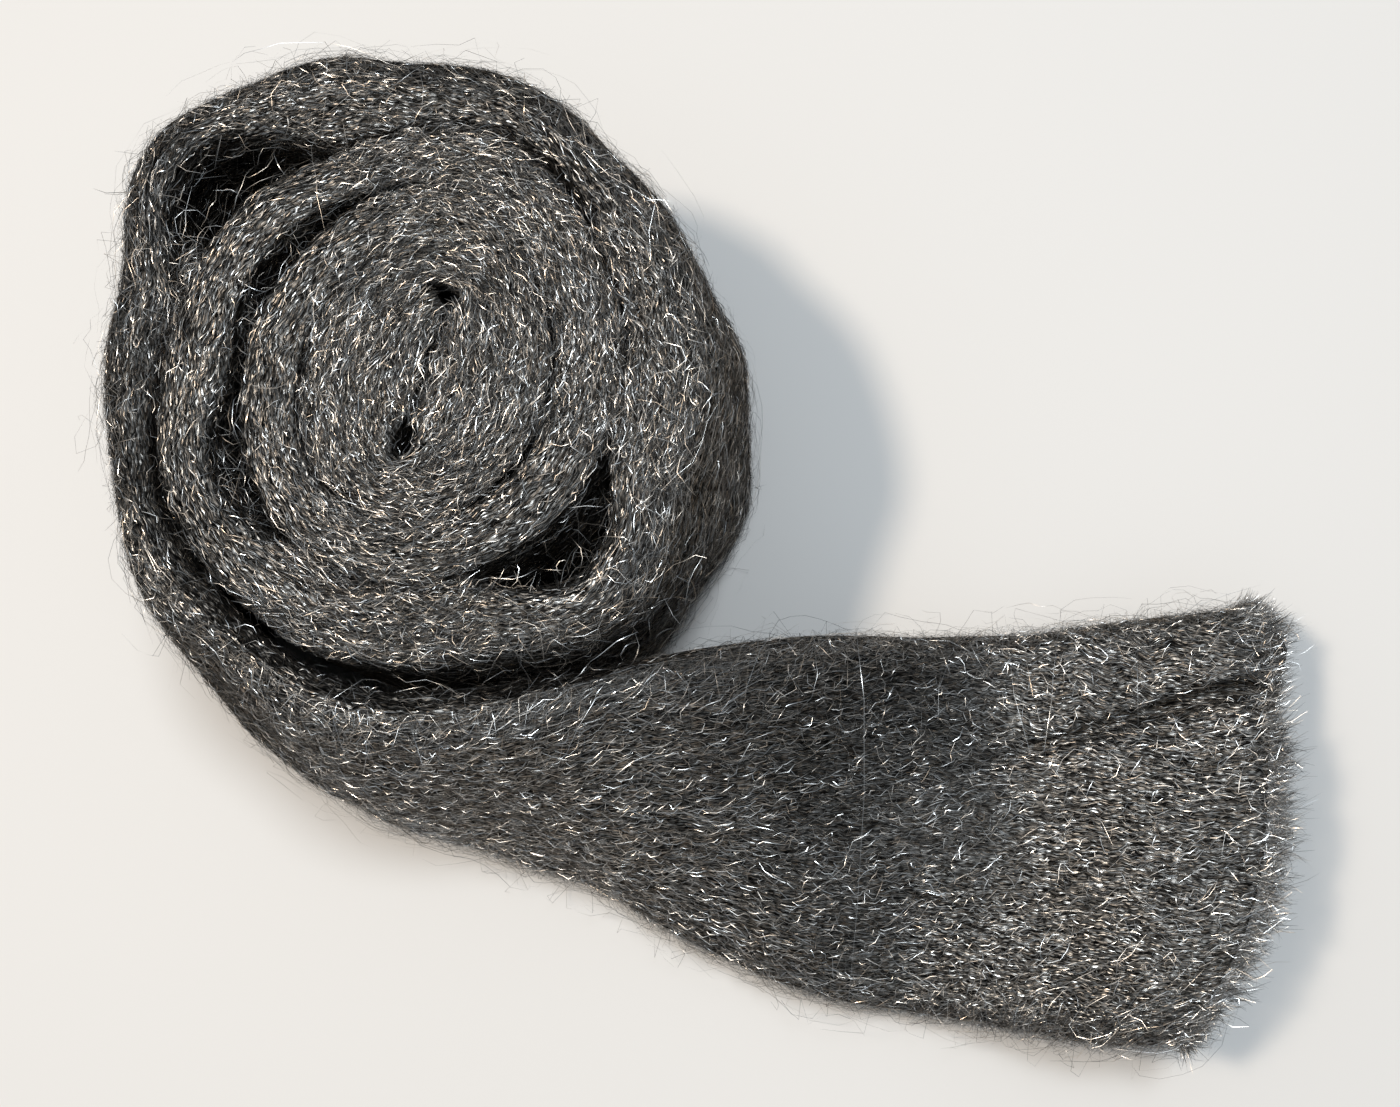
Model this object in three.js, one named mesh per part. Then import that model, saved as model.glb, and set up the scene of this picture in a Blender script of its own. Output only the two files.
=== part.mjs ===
// Steel wool roll: one long strip of matted steel fibre, wound up and stood on its end.
// Its outer end leans off the roll, turns over and lies down flat, fanned out at the cut.
// Millimetres, +Z up. The roll stands on z = 0 and the loose end runs towards +X.
import * as THREE from 'three';

const { lerp, smoothstep, degToRad } = THREE.MathUtils;

// The strip as it is wound
const stripWidth = 100; // also the height of the roll
const coreThickness = 14.6; // packed tight in the middle turns
const outerThickness = 20; // slack in the outer turns
const slackFrom = 2.2; // turns from the middle where the strip begins to fill out
const slackTo = 3.6;
const turnClearance = 0.4; // between the faces of two turns that lie together
const edgeWander = 0.014; // rise and fall of the upper edge, as a share of the width
const wanderWaves = 1.32; // rises of the upper edge in each turn
const wanderFrom = 0.5; // turns
const wanderTo = 1.5;
const bulgeDepth = 3; // how far the walls of the outer turns swell at half height
const bulgeFrom = 0.5; // turns
const bulgeTo = 3.5;

// The fold in the middle: the strip starts beside a closed slit and turns round its far end
const slitHalfLength = 19;
const slitHalfWidth = 0.5;
const slitDirection = degToRad(73); // from the hole towards the start of the strip
const holeHalfWidth = 5.5; // the open loop at the far end of the slit
const holePlace = 0.5; // turns
const holeSpread = 0.17; // turns
const holeSqueeze = 0.34; // share of the thickness lost where the strip bends round the hole
const startTurn = 0.07; // where the strip begins
const startRamp = 0.2; // turns that the strip takes to climb over its own start

// Where the strip stops winding, counted in turns from the start of the slit
const lastTurn = 4.52;
const stepsPerTurn = 48;

// Loose places: where the strip stands off the turn inside it, and is drawn thin over the gap.
// Place and spread are in turns, opening and thinning are shares of the strip's thickness.
const loosePlaces = [
  { at: 3.08, spread: 0.13, opening: 0, thinning: 0.3 },
  { at: 3.2, spread: 0.12, opening: 0.225, thinning: 0.2 },
  { at: 3.36, spread: 0.1, opening: 0.425, thinning: 0.35 },
  { at: 3.66, spread: 0.085, opening: 0.625, thinning: 0.22 },
  { at: 3.95, spread: 0.11, opening: 0, thinning: 0.26 },
  { at: 4.115, spread: 0.06, opening: 0, thinning: -0.38 },
  { at: 4.178, spread: 0.075, opening: 1, thinning: 0.34 },
  { at: 4.33, spread: 0.13, opening: 0.05, thinning: 0.1 },
];

// Where the foot of the outer turn is drawn in, under the loose place on the near right
const tuckPlace = 3.67;
const tuckSpread = 0.075;
const tuckDepth = 8;

// The loose end
const leanAngle = degToRad(14.5); // foot of the strip outwards, upper edge against the roll
const leanFrom = 4.29; // turns
const leanTo = 4.44;
const tailClearance = 3; // extra space where the strip leaves the roll
const tailLength = 219;
const flattenLength = 165; // along the tail, from leaning to lying flat
const tailThickness = 15;
const thinFrom = 4.2; // turns
const thinTo = 4.38;
const fanOut = 0.08; // extra width at the cut end, as a share of the width
const fanFrom = 0.525; // share of the tail's length
const tailBend = degToRad(12); // the last stretch swings back towards the roll's side
const bendFrom = 0.365; // share of the tail's length
const liftFrom = 0.545; // share of the tail's length, where the end starts to rise and twist
const endLift = 0.15; // how far the cut end stands off the surface, as a share of the width
const endTwist = degToRad(9); // the near corner of the end is the higher one
const cornerDrop = 0.34; // how far the near corner of the cut falls short, as a share of the width
const cornerFalloff = 4; // power by which the cut line rounds off towards that corner
const tailStep = 8.3;

// Soft lumps in the free face: the wall of the outer turn, then the upper face of the loose end
const lumpDepth = 1.2;
const lumpLength = 44; // from one lump to the next along the strip
const lumpsPerTurn = 10;
const lumpFrom = 3.55; // turns
const lumpTo = 3.7;
const lumpWaves = [
  { share: 0.6, along: 1, slant: 0.8 },
  { share: 0.4, along: 0.63, slant: -1.1 },
];

// The crease along the upper face of the tail
const creaseDepth = 4.5;
const creaseHalfWidth = 4;
const creaseFrom = 0.435; // share of the tail's length
const creaseStart = 0.1; // place across the width, from 0 in the middle to 0.5 at the upper edge
const creaseEnd = 0.285;

// Rounding of the strip's long edges, sharper in the packed middle
const coreEdgeRadius = 2.4;
const outerEdgeRadius = 6.2;
const upperRoundFrom = 2.9; // turns
const upperRoundTo = 4.3;
const coreFootRadius = 1.4;
const outerFootRadius = 3.8;
const footRoundFrom = 3.3; // turns
const footRoundTo = 3.6;
const upperCornerSteps = 3;
const footCornerSteps = 2;
const largestRoundShare = 0.46; // an edge radius stays under half the thickness
const quarterWidth = 0.25;
const facePointShare = 0.6; // from the lower quarter of the face to the crease

const woolColour = 0x605d5a;
const quarterTurn = Math.PI / 2;

// Height of the lumps, from -1 to 1, at a place counted in lumps along and widths across
function lumpHeight(along, across) {
  const wave = (w) => w.share * Math.sin(2 * Math.PI * (w.along * along + w.slant * across));
  return lumpWaves.reduce((sum, w) => sum + wave(w), 0);
}

// A hump that is 1 at its place and 0 beyond its spread
function hump(turn, place, spread) {
  const distance = Math.abs(turn - place) / spread;
  return distance < 1 ? Math.cos(distance * quarterTurn) ** 2 : 0;
}

// The turns are ellipses round the slit, with the slit's ends as their foci
function pointOnTurn(halfWidth, turn) {
  const angle = turn * 2 * Math.PI;
  const along = Math.hypot(halfWidth, slitHalfLength) * Math.cos(angle);
  const across = halfWidth * Math.sin(angle);
  return new THREE.Vector2(along, across).rotateAround(new THREE.Vector2(), slitDirection);
}

function woundThickness(turn) {
  const wound = lerp(coreThickness, outerThickness, smoothstep(turn, slackFrom, slackTo));
  const packed = lerp(wound, tailThickness, smoothstep(turn, thinFrom, thinTo));
  const thinning = loosePlaces.reduce((sum, p) => sum + p.thinning * hump(turn, p.at, p.spread), 0);
  return packed * (1 - thinning - holeSqueeze * hump(turn, holePlace, holeSpread));
}

// Half widths of the inner and outer face of every turn, each laid on the turn before it
function windStrip() {
  const steps = Math.round((lastTurn - startTurn) * stepsPerTurn);
  const faces = [];
  for (let i = 0; i <= steps; i += 1) {
    const turn = startTurn + i / stepsPerTurn;
    const slit = slitHalfWidth + holeHalfWidth * hump(turn, holePlace, holeSpread);
    const climb = smoothstep(turn, startTurn + 1 - startRamp, startTurn + 1);
    const core = climb > 0 ? lerp(slit, faces[0].outer, climb) : slit;
    const below = i < stepsPerTurn ? core : faces[i - stepsPerTurn].outer;
    const slack = loosePlaces.reduce((sum, p) => sum + p.opening * hump(turn, p.at, p.spread), 0);
    const leaving = tailClearance * smoothstep(turn, leanTo, lastTurn);
    const inner = below + turnClearance + outerThickness * slack + leaving;
    faces.push({ turn, inner, outer: inner + woundThickness(turn) });
  }
  return faces;
}

// Height of the standing strip, which rises and falls a little from turn to turn
function woundWidth(turn) {
  const wave = Math.sin(turn * wanderWaves * 2 * Math.PI);
  return stripWidth * (1 + edgeWander * wave * smoothstep(turn, wanderFrom, wanderTo));
}

// A station is one place along the strip: its middle in plan, outward direction and section
function woundStations() {
  return windStrip().map(({ turn, inner, outer }) => {
    const innerPoint = pointOnTurn(inner, turn);
    const outward = pointOnTurn(outer, turn).sub(innerPoint);
    const thickness = outward.length();
    outward.normalize();
    const tuck = Math.asin((tuckDepth / stripWidth) * hump(turn, tuckPlace, tuckSpread));
    const lean = leanAngle * smoothstep(turn, leanFrom, leanTo) - tuck;
    const reach = (thickness * Math.cos(lean) + stripWidth * Math.sin(lean)) / 2;
    const middle = innerPoint.clone().addScaledVector(outward, reach);
    return {
      middle,
      outward,
      width: woundWidth(turn),
      thickness,
      lean,
      twist: 0,
      lift: 0,
      swell: bulgeDepth * smoothstep(turn, bulgeFrom, bulgeTo),
      lump: lumpDepth * smoothstep(turn, lumpFrom, lumpTo),
      lumpPlace: turn * lumpsPerTurn,
      upperRadius: lerp(coreEdgeRadius, outerEdgeRadius, smoothstep(turn, upperRoundFrom, upperRoundTo)),
      footRadius: lerp(coreFootRadius, outerFootRadius, smoothstep(turn, footRoundFrom, footRoundTo)),
      crease: 0,
      creasePlace: creaseStart,
      shortfall: 0,
    };
  });
}

function tailStations(lastWound) {
  const steps = Math.ceil(tailLength / tailStep);
  const step = tailLength / steps;
  const start = lastWound.outward.angle() + quarterTurn;
  const point = lastWound.middle.clone();
  const stations = [];
  for (let i = 1; i <= steps; i += 1) {
    const run = i * step;
    const share = run / tailLength;
    const bend = tailBend * smoothstep(share, bendFrom, 1);
    const heading = new THREE.Vector2(Math.cos(start + bend), Math.sin(start + bend));
    point.addScaledVector(heading, step);
    const flat = smoothstep(run, 0, flattenLength);
    const ending = smoothstep(share, liftFrom, 1);
    const creased = smoothstep(share, creaseFrom, 1);
    stations.push({
      middle: point.clone(),
      outward: new THREE.Vector2(heading.y, -heading.x),
      width: stripWidth * (1 + fanOut * smoothstep(share, fanFrom, 1)),
      thickness: lerp(lastWound.thickness, tailThickness, flat),
      lean: lerp(leanAngle, quarterTurn, flat),
      twist: endTwist * ending,
      lift: endLift * stripWidth * ending,
      swell: bulgeDepth,
      lump: lumpDepth,
      lumpPlace: lastTurn * lumpsPerTurn + run / lumpLength,
      upperRadius: outerEdgeRadius,
      footRadius: lerp(lastWound.footRadius, outerEdgeRadius, flat),
      crease: creaseDepth * creased,
      creasePlace: lerp(creaseStart, creaseEnd, creased),
      shortfall: cornerDrop * stripWidth * ending,
    });
  }
  return stations;
}

// Section as pairs: place across the width (foot to upper edge), place through the thickness
function sectionOutline(place) {
  const { width, thickness, upperRadius, footRadius, crease, creasePlace } = place;
  const top = width / 2;
  const face = thickness / 2;
  const upper = Math.min(upperRadius, thickness * largestRoundShare);
  const foot = Math.min(footRadius, thickness * largestRoundShare);
  const outline = [];
  const add = (across, through) => {
    const bulge = place.swell * (1 - (across / top) ** 2);
    const lump = place.lump * lumpHeight(place.lumpPlace, across / width) * Math.max(0, through / face);
    outline.push([across, through + bulge + lump]);
  };
  const corner = (across, through, radius, firstAngle, steps) => {
    for (let i = 0; i <= steps; i += 1) {
      const angle = firstAngle + (quarterTurn * i) / steps;
      add(across + radius * Math.sin(angle), through + radius * Math.cos(angle));
    }
  };
  const creaseAt = creasePlace * width;
  corner(-top + foot, face - foot, foot, -quarterTurn, footCornerSteps);
  add(-quarterWidth * width, face);
  add(lerp(-quarterWidth * width, creaseAt, facePointShare), face);
  add(creaseAt - creaseHalfWidth, face);
  add(creaseAt, face - crease);
  add(creaseAt + creaseHalfWidth, face);
  corner(top - upper, face - upper, upper, 0, upperCornerSteps);
  corner(top - upper, -face + upper, upper, quarterTurn, upperCornerSteps);
  add(quarterWidth * width, -face);
  add(0, -face);
  add(-quarterWidth * width, -face);
  corner(-top + foot, -face + foot, foot, 2 * quarterTurn, footCornerSteps);
  return outline;
}

// Points of one section in space; the lowest edge of the strip rests on z = 0 unless lifted
function sectionPoints(place) {
  const { width, thickness, lean, twist, lift } = place;
  const angle = lean + twist;
  const outward = new THREE.Vector3(place.outward.x, place.outward.y, 0);
  const along = new THREE.Vector3(-outward.y, outward.x, 0);
  const rise = new THREE.Vector3(0, 0, Math.cos(angle)).addScaledVector(outward, -Math.sin(angle));
  const through = outward.clone().multiplyScalar(Math.cos(angle));
  through.z = Math.sin(angle);
  const edgeReach = width * (Math.abs(Math.cos(lean)) + Math.sin(twist));
  const reach = edgeReach + thickness * Math.abs(Math.sin(angle));
  const centre = new THREE.Vector3(place.middle.x, place.middle.y, reach / 2 + lift);
  const toPoint = ([across, deep]) => {
    const pulledBack = place.shortfall * (0.5 - across / width) ** cornerFalloff;
    const point = centre.clone().addScaledVector(rise, across).addScaledVector(through, deep);
    return point.addScaledVector(along, -pulledBack);
  };
  return { centre: toPoint([0, 0]), ring: sectionOutline(place).map(toPoint) };
}

// Skin through all sections, closed by a fan at each end
function skin(sections) {
  const size = sections[0].ring.length;
  const positions = sections.flatMap(({ ring }) => ring.flatMap((p) => [p.x, p.y, p.z]));
  const triangles = [];
  for (let i = 0; i + 1 < sections.length; i += 1) {
    for (let j = 0; j < size; j += 1) {
      const here = i * size + j;
      const beside = i * size + ((j + 1) % size);
      triangles.push(here, here + size, beside + size, here, beside + size, beside);
    }
  }
  const addEnd = (section, firstIndex, forward) => {
    const middle = positions.length / 3;
    positions.push(section.centre.x, section.centre.y, section.centre.z);
    for (let j = 0; j < size; j += 1) {
      const next = (j + 1) % size;
      const pair = forward ? [j, next] : [next, j];
      triangles.push(middle, firstIndex + pair[0], firstIndex + pair[1]);
    }
  };
  addEnd(sections[0], 0, true);
  addEnd(sections.at(-1), (sections.length - 1) * size, false);
  const geometry = new THREE.BufferGeometry();
  geometry.setAttribute('position', new THREE.Float32BufferAttribute(positions, 3));
  geometry.setIndex(triangles);
  geometry.computeVertexNormals();
  return geometry;
}

function makeStrip() {
  const wound = woundStations();
  const stations = [...wound, ...tailStations(wound.at(-1))];
  const material = new THREE.MeshStandardMaterial({ color: woolColour, roughness: 0.62, metalness: 0.8 });
  const mesh = new THREE.Mesh(skin(stations.map(sectionPoints)), material);
  mesh.name = 'steel_wool_strip';
  return mesh;
}

// The frame has its origin under the middle of the whole piece
const roll = new THREE.Group();
roll.add(makeStrip());
const extent = new THREE.Box3().setFromObject(roll);
const middleOfAll = extent.getCenter(new THREE.Vector3());
roll.position.set(-middleOfAll.x, -middleOfAll.y, -extent.min.z);
roll.updateMatrixWorld(true);

export default roll;
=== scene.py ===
"""Steel wool roll: the matted strip, its fibres and the light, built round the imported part.

The strip's skin is made from the same sizes as the part's source. Fibres are then laid on that
skin as thin bands of steel, with stray hairs at the edges and a brush of fibre ends at the cut.
One fibre takes one cell of the bake map, so BAKE_CELLS limits the fibres of a piece.
"""

from __future__ import annotations

import logging
import math
import sys
from dataclasses import dataclass, field
from enum import Enum
from typing import Sequence

import bpy
import numpy as np
from mathutils import Matrix, Vector

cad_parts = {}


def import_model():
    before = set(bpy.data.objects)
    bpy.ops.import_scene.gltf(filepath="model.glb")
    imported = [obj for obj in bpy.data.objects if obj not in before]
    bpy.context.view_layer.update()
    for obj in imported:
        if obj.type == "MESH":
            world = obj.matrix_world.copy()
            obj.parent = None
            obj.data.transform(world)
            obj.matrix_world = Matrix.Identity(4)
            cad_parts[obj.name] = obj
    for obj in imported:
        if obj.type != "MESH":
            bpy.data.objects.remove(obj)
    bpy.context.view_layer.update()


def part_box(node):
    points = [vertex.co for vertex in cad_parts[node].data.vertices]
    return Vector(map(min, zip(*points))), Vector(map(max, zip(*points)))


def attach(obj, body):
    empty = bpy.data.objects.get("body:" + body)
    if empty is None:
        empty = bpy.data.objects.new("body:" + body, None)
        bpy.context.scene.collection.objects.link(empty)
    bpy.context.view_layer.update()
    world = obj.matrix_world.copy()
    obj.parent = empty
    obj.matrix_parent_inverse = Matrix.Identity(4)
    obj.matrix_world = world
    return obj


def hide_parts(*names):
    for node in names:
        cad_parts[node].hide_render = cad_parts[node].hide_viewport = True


LOG = logging.getLogger("steel_wool_roll")
MM = 0.001
NODE = "steel_wool_strip"
BODY = "root"
BAKE_MAP = "OFBake"
BAKE_CELLS = 182
STRIP_MAP = "strip_metres"
QUARTER_TURN = math.pi / 2
LEAST_LENGTH = 1e-9
COLOUR_SOCKET = "NodeSocketColor"
VALUE_SOCKET = "NodeSocketFloat"
VECTOR_SOCKET = "NodeSocketVector"

Colour = tuple[float, float, float]
Socket = bpy.types.NodeSocket | float | tuple[float, ...]
Inputs = dict[str | int, Socket]


def smooth(value: np.ndarray, low: float, high: float) -> np.ndarray:
    """Eased step from 0 at low to 1 at high.

    Args:
        value: Where the step is asked for.
        low: Where it starts.
        high: Where it ends.

    Returns:
        The step's height at each value.
    """
    share = np.clip((np.asarray(value, dtype=float) - low) / (high - low), 0.0, 1.0)
    return share * share * (3.0 - 2.0 * share)


def hump(value: np.ndarray, place: float, spread: float) -> np.ndarray:
    """Rounded hump, 1 at its place and 0 beyond its spread.

    Args:
        value: Where the hump is asked for.
        place: Where it peaks.
        spread: How far it reaches to each side.

    Returns:
        The hump's height at each value.
    """
    distance = np.minimum(np.abs(np.asarray(value, dtype=float) - place) / spread, 1.0)
    return np.cos(distance * QUARTER_TURN) ** 2


def mix(low: np.ndarray, high: np.ndarray, share: np.ndarray) -> np.ndarray:
    """Value between low and high at the given share."""
    return low + (high - low) * share


def unit(vectors: np.ndarray) -> np.ndarray:
    """The same directions with a length of 1."""
    length = np.linalg.norm(vectors, axis=-1, keepdims=True)
    return vectors / np.maximum(length, LEAST_LENGTH)


@dataclass(frozen=True)
class LoosePlace:
    """Where the strip stands off the turn inside it, or is thinner.

    Attributes:
        at: The middle of the place, in turns.
        spread: How far it reaches to each side, in turns.
        opening: Width of the gap, as a share of the outer thickness.
        thinning: Share of its own thickness that the strip loses there, or gains where negative.
    """

    at: float
    spread: float
    opening: float
    thinning: float


@dataclass
class Stations:
    """Places along the strip, one row each, in millimetres and radians.

    Attributes:
        middle: Middle of the strip in plan.
        outward: Direction in plan from the strip's inner to its outer face.
        turn: Place along the strip, in turns.
        width: The strip's width.
        thickness: Its thickness.
        lean: How far its upper edge leans back, from standing to lying.
        twist: How far it is turned about its length besides.
        lift: How far it is raised off the table.
        swell: Bulge of its faces.
        lump: Depth of the soft lumps.
        lump_place: Place in the row of lumps.
        upper_radius: Rounding of the upper edges.
        foot_radius: Rounding of the lower edges.
        crease: Depth of the crease.
        crease_place: The crease's place, as a share of the width.
        shortfall: How far the lower edge's corner falls short.
    """

    middle: np.ndarray
    outward: np.ndarray
    turn: np.ndarray
    width: np.ndarray
    thickness: np.ndarray
    lean: np.ndarray
    twist: np.ndarray
    lift: np.ndarray
    swell: np.ndarray
    lump: np.ndarray
    lump_place: np.ndarray
    upper_radius: np.ndarray
    foot_radius: np.ndarray
    crease: np.ndarray
    crease_place: np.ndarray
    shortfall: np.ndarray

    def run(self) -> np.ndarray:
        """Distance along the strip's middle line at each station."""
        steps = np.linalg.norm(np.diff(self.middle, axis=0), axis=1)
        return np.concatenate([[0.0], np.cumsum(steps)])

    def turning(self) -> np.ndarray:
        """How fast the strip turns at each station, in radians a millimetre."""
        angle = np.unwrap(np.arctan2(self.outward[:, 1], self.outward[:, 0]))
        return np.gradient(angle, self.run())

    def evenly(self, spacing: float) -> "Stations":
        """Stations at an even spacing along the strip.

        Args:
            spacing: Distance from one to the next.

        Returns:
            New stations with every value read between the old ones.
        """
        run = self.run()
        places = np.linspace(0.0, run[-1], int(round(run[-1] / spacing)) + 1)

        def read(values: np.ndarray) -> np.ndarray:
            """Reads one field at the new places.

            Args:
                values: The field, plain or of several columns.

            Returns:
                The field there.
            """
            if values.ndim == 1:
                return np.interp(places, run, values)
            return np.stack([np.interp(places, run, column) for column in values.T], axis=1)

        fields = {name: read(values) for name, values in vars(self).items()}
        fields["outward"] = unit(fields["outward"])
        return Stations(**fields)


@dataclass
class WoundStrip:
    """The strip's sizes, as in the part's source: millimetres, turns and radians."""

    width: float = 100.0
    core_thickness: float = 14.6
    outer_thickness: float = 20.0
    slack_turns: tuple[float, float] = (2.2, 3.6)
    tail_thickness: float = 15.0
    thin_turns: tuple[float, float] = (4.2, 4.38)
    turn_clearance: float = 0.4
    edge_wander: float = 0.014
    wander_waves: float = 1.32
    wander_turns: tuple[float, float] = (0.5, 1.5)
    barrel_bulge: float = 3.0
    bulge_turns: tuple[float, float] = (0.5, 3.5)
    slit_half_length: float = 19.0
    slit_half_width: float = 0.5
    slit_direction: float = math.radians(73.0)
    hole_half_width: float = 5.5
    hole_place: float = 0.5
    hole_spread: float = 0.17
    hole_squeeze: float = 0.34
    start_turn: float = 0.07
    start_ramp: float = 0.2
    last_turn: float = 4.52
    steps_per_turn: int = 48
    fine_steps: int = 5
    loose_places: tuple[LoosePlace, ...] = (
        LoosePlace(3.08, 0.13, 0.0, 0.3),
        LoosePlace(3.2, 0.12, 0.225, 0.2),
        LoosePlace(3.36, 0.1, 0.425, 0.35),
        LoosePlace(3.66, 0.085, 0.625, 0.22),
        LoosePlace(3.95, 0.11, 0.0, 0.26),
        LoosePlace(4.115, 0.06, 0.0, -0.38),
        LoosePlace(4.178, 0.075, 1.0, 0.34),
        LoosePlace(4.33, 0.13, 0.05, 0.1),
    )
    tuck_place: float = 3.67
    tuck_spread: float = 0.075
    tuck_depth: float = 8.0
    lean_angle: float = math.radians(14.5)
    lean_turns: tuple[float, float] = (4.29, 4.44)
    tail_clearance: float = 3.0
    tail_length: float = 219.0
    flatten_length: float = 165.0
    fan_out: float = 0.08
    fan_from: float = 0.525
    tail_bend: float = math.radians(12.0)
    bend_from: float = 0.365
    lift_from: float = 0.545
    end_lift: float = 0.15
    end_twist: float = math.radians(9.0)
    corner_drop: float = 0.34
    corner_falloff: float = 4.0
    tail_step: float = 2.0
    lump_depth: float = 1.2
    lump_length: float = 44.0
    lumps_per_turn: float = 10.0
    lump_turns: tuple[float, float] = (3.55, 3.7)
    lump_waves: tuple[tuple[float, float, float], ...] = ((0.6, 1.0, 0.8), (0.4, 0.63, -1.1))
    crease_depth: float = 6.0
    crease_half_width: float = 2.8
    crease_from: float = 0.435
    crease_places: tuple[float, float] = (0.1, 0.285)
    core_edge_radius: float = 1.3
    outer_edge_radius: float = 6.2
    upper_round_turns: tuple[float, float] = (2.9, 4.3)
    core_foot_radius: float = 1.4
    outer_foot_radius: float = 3.8
    foot_round_turns: tuple[float, float] = (3.3, 3.6)
    largest_round_share: float = 0.46
    wide_opening: float = 0.1

    def wide_places(self) -> list[LoosePlace]:
        """Loose places that open wide enough to look into."""
        return [place for place in self.loose_places if place.opening > self.wide_opening]

    def point_on_turn(self, half_width: np.ndarray, turn: np.ndarray) -> np.ndarray:
        """Place on an ellipse round the slit, whose ends are the ellipse's foci.

        Args:
            half_width: Half of the ellipse's smaller width.
            turn: Place round it, in turns from the slit's upper end.

        Returns:
            Points in plan.
        """
        angle = np.asarray(turn) * 2.0 * math.pi
        along = np.hypot(half_width, self.slit_half_length) * np.cos(angle)
        across = half_width * np.sin(angle)
        cos, sin = math.cos(self.slit_direction), math.sin(self.slit_direction)
        return np.stack([along * cos - across * sin, along * sin + across * cos], axis=-1)

    def slit_end(self) -> np.ndarray:
        """Upper end of the slit in plan, round which the first turn folds back."""
        return self.point_on_turn(np.array(self.slit_half_width), np.array(0.0))

    def wound_thickness(self, turn: np.ndarray) -> np.ndarray:
        """Thickness of the wound strip.

        Args:
            turn: Where it is asked for, in turns.

        Returns:
            The thickness at each.
        """
        wound = mix(self.core_thickness, self.outer_thickness, smooth(turn, *self.slack_turns))
        packed = mix(wound, self.tail_thickness, smooth(turn, *self.thin_turns))
        thinning = sum(p.thinning * hump(turn, p.at, p.spread) for p in self.loose_places)
        squeeze = self.hole_squeeze * hump(turn, self.hole_place, self.hole_spread)
        return packed * (1.0 - thinning - squeeze)

    def wind(self) -> tuple[np.ndarray, np.ndarray, np.ndarray]:
        """Lays each turn on the turn before it.

        Returns:
            Turn, and the half widths of the strip's inner and outer face there.
        """
        turn_steps = self.steps_per_turn * self.fine_steps
        count = round((self.last_turn - self.start_turn) * self.steps_per_turn) * self.fine_steps + 1
        turn = self.start_turn + np.arange(count) / turn_steps
        slit = self.slit_half_width + self.hole_half_width * hump(turn, self.hole_place, self.hole_spread)
        climb = smooth(turn, self.start_turn + 1.0 - self.start_ramp, self.start_turn + 1.0)
        opening = sum(p.opening * hump(turn, p.at, p.spread) for p in self.loose_places)
        leaving = self.tail_clearance * smooth(turn, self.lean_turns[1], self.last_turn)
        spare = self.turn_clearance + self.outer_thickness * opening + leaving
        thickness = self.wound_thickness(turn)
        inner = np.zeros(count)
        outer = np.zeros(count)
        for i in range(count):
            if i < turn_steps:
                below = mix(slit[i], outer[0], climb[i])
            else:
                below = outer[i - turn_steps]
            inner[i] = below + spare[i]
            outer[i] = inner[i] + thickness[i]
        return turn, inner, outer

    def wound_stations(self) -> Stations:
        """Sets stations along the wound part, standing on edge.

        Returns:
            The wound part's stations.
        """
        turn, inner, outer = self.wind()
        inner_point = self.point_on_turn(inner, turn)
        across = self.point_on_turn(outer, turn) - inner_point
        thickness = np.linalg.norm(across, axis=1)
        outward = unit(across)
        tuck = np.arcsin(self.tuck_depth / self.width * hump(turn, self.tuck_place, self.tuck_spread))
        lean = self.lean_angle * smooth(turn, *self.lean_turns) - tuck
        reach = (thickness * np.cos(lean) + self.width * np.sin(lean)) / 2.0
        wave = np.sin(turn * self.wander_waves * 2.0 * math.pi)
        nothing = np.zeros_like(turn)
        return Stations(
            middle=inner_point + outward * reach[:, None],
            outward=outward,
            turn=turn,
            width=self.width * (1.0 + self.edge_wander * wave * smooth(turn, *self.wander_turns)),
            thickness=thickness,
            lean=lean,
            twist=nothing,
            lift=nothing,
            swell=self.barrel_bulge * smooth(turn, *self.bulge_turns),
            lump=self.lump_depth * smooth(turn, *self.lump_turns),
            lump_place=turn * self.lumps_per_turn,
            upper_radius=mix(
                self.core_edge_radius, self.outer_edge_radius, smooth(turn, *self.upper_round_turns)
            ),
            foot_radius=mix(
                self.core_foot_radius, self.outer_foot_radius, smooth(turn, *self.foot_round_turns)
            ),
            crease=nothing,
            crease_place=nothing + self.crease_places[0],
            shortfall=nothing,
        )

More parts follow.
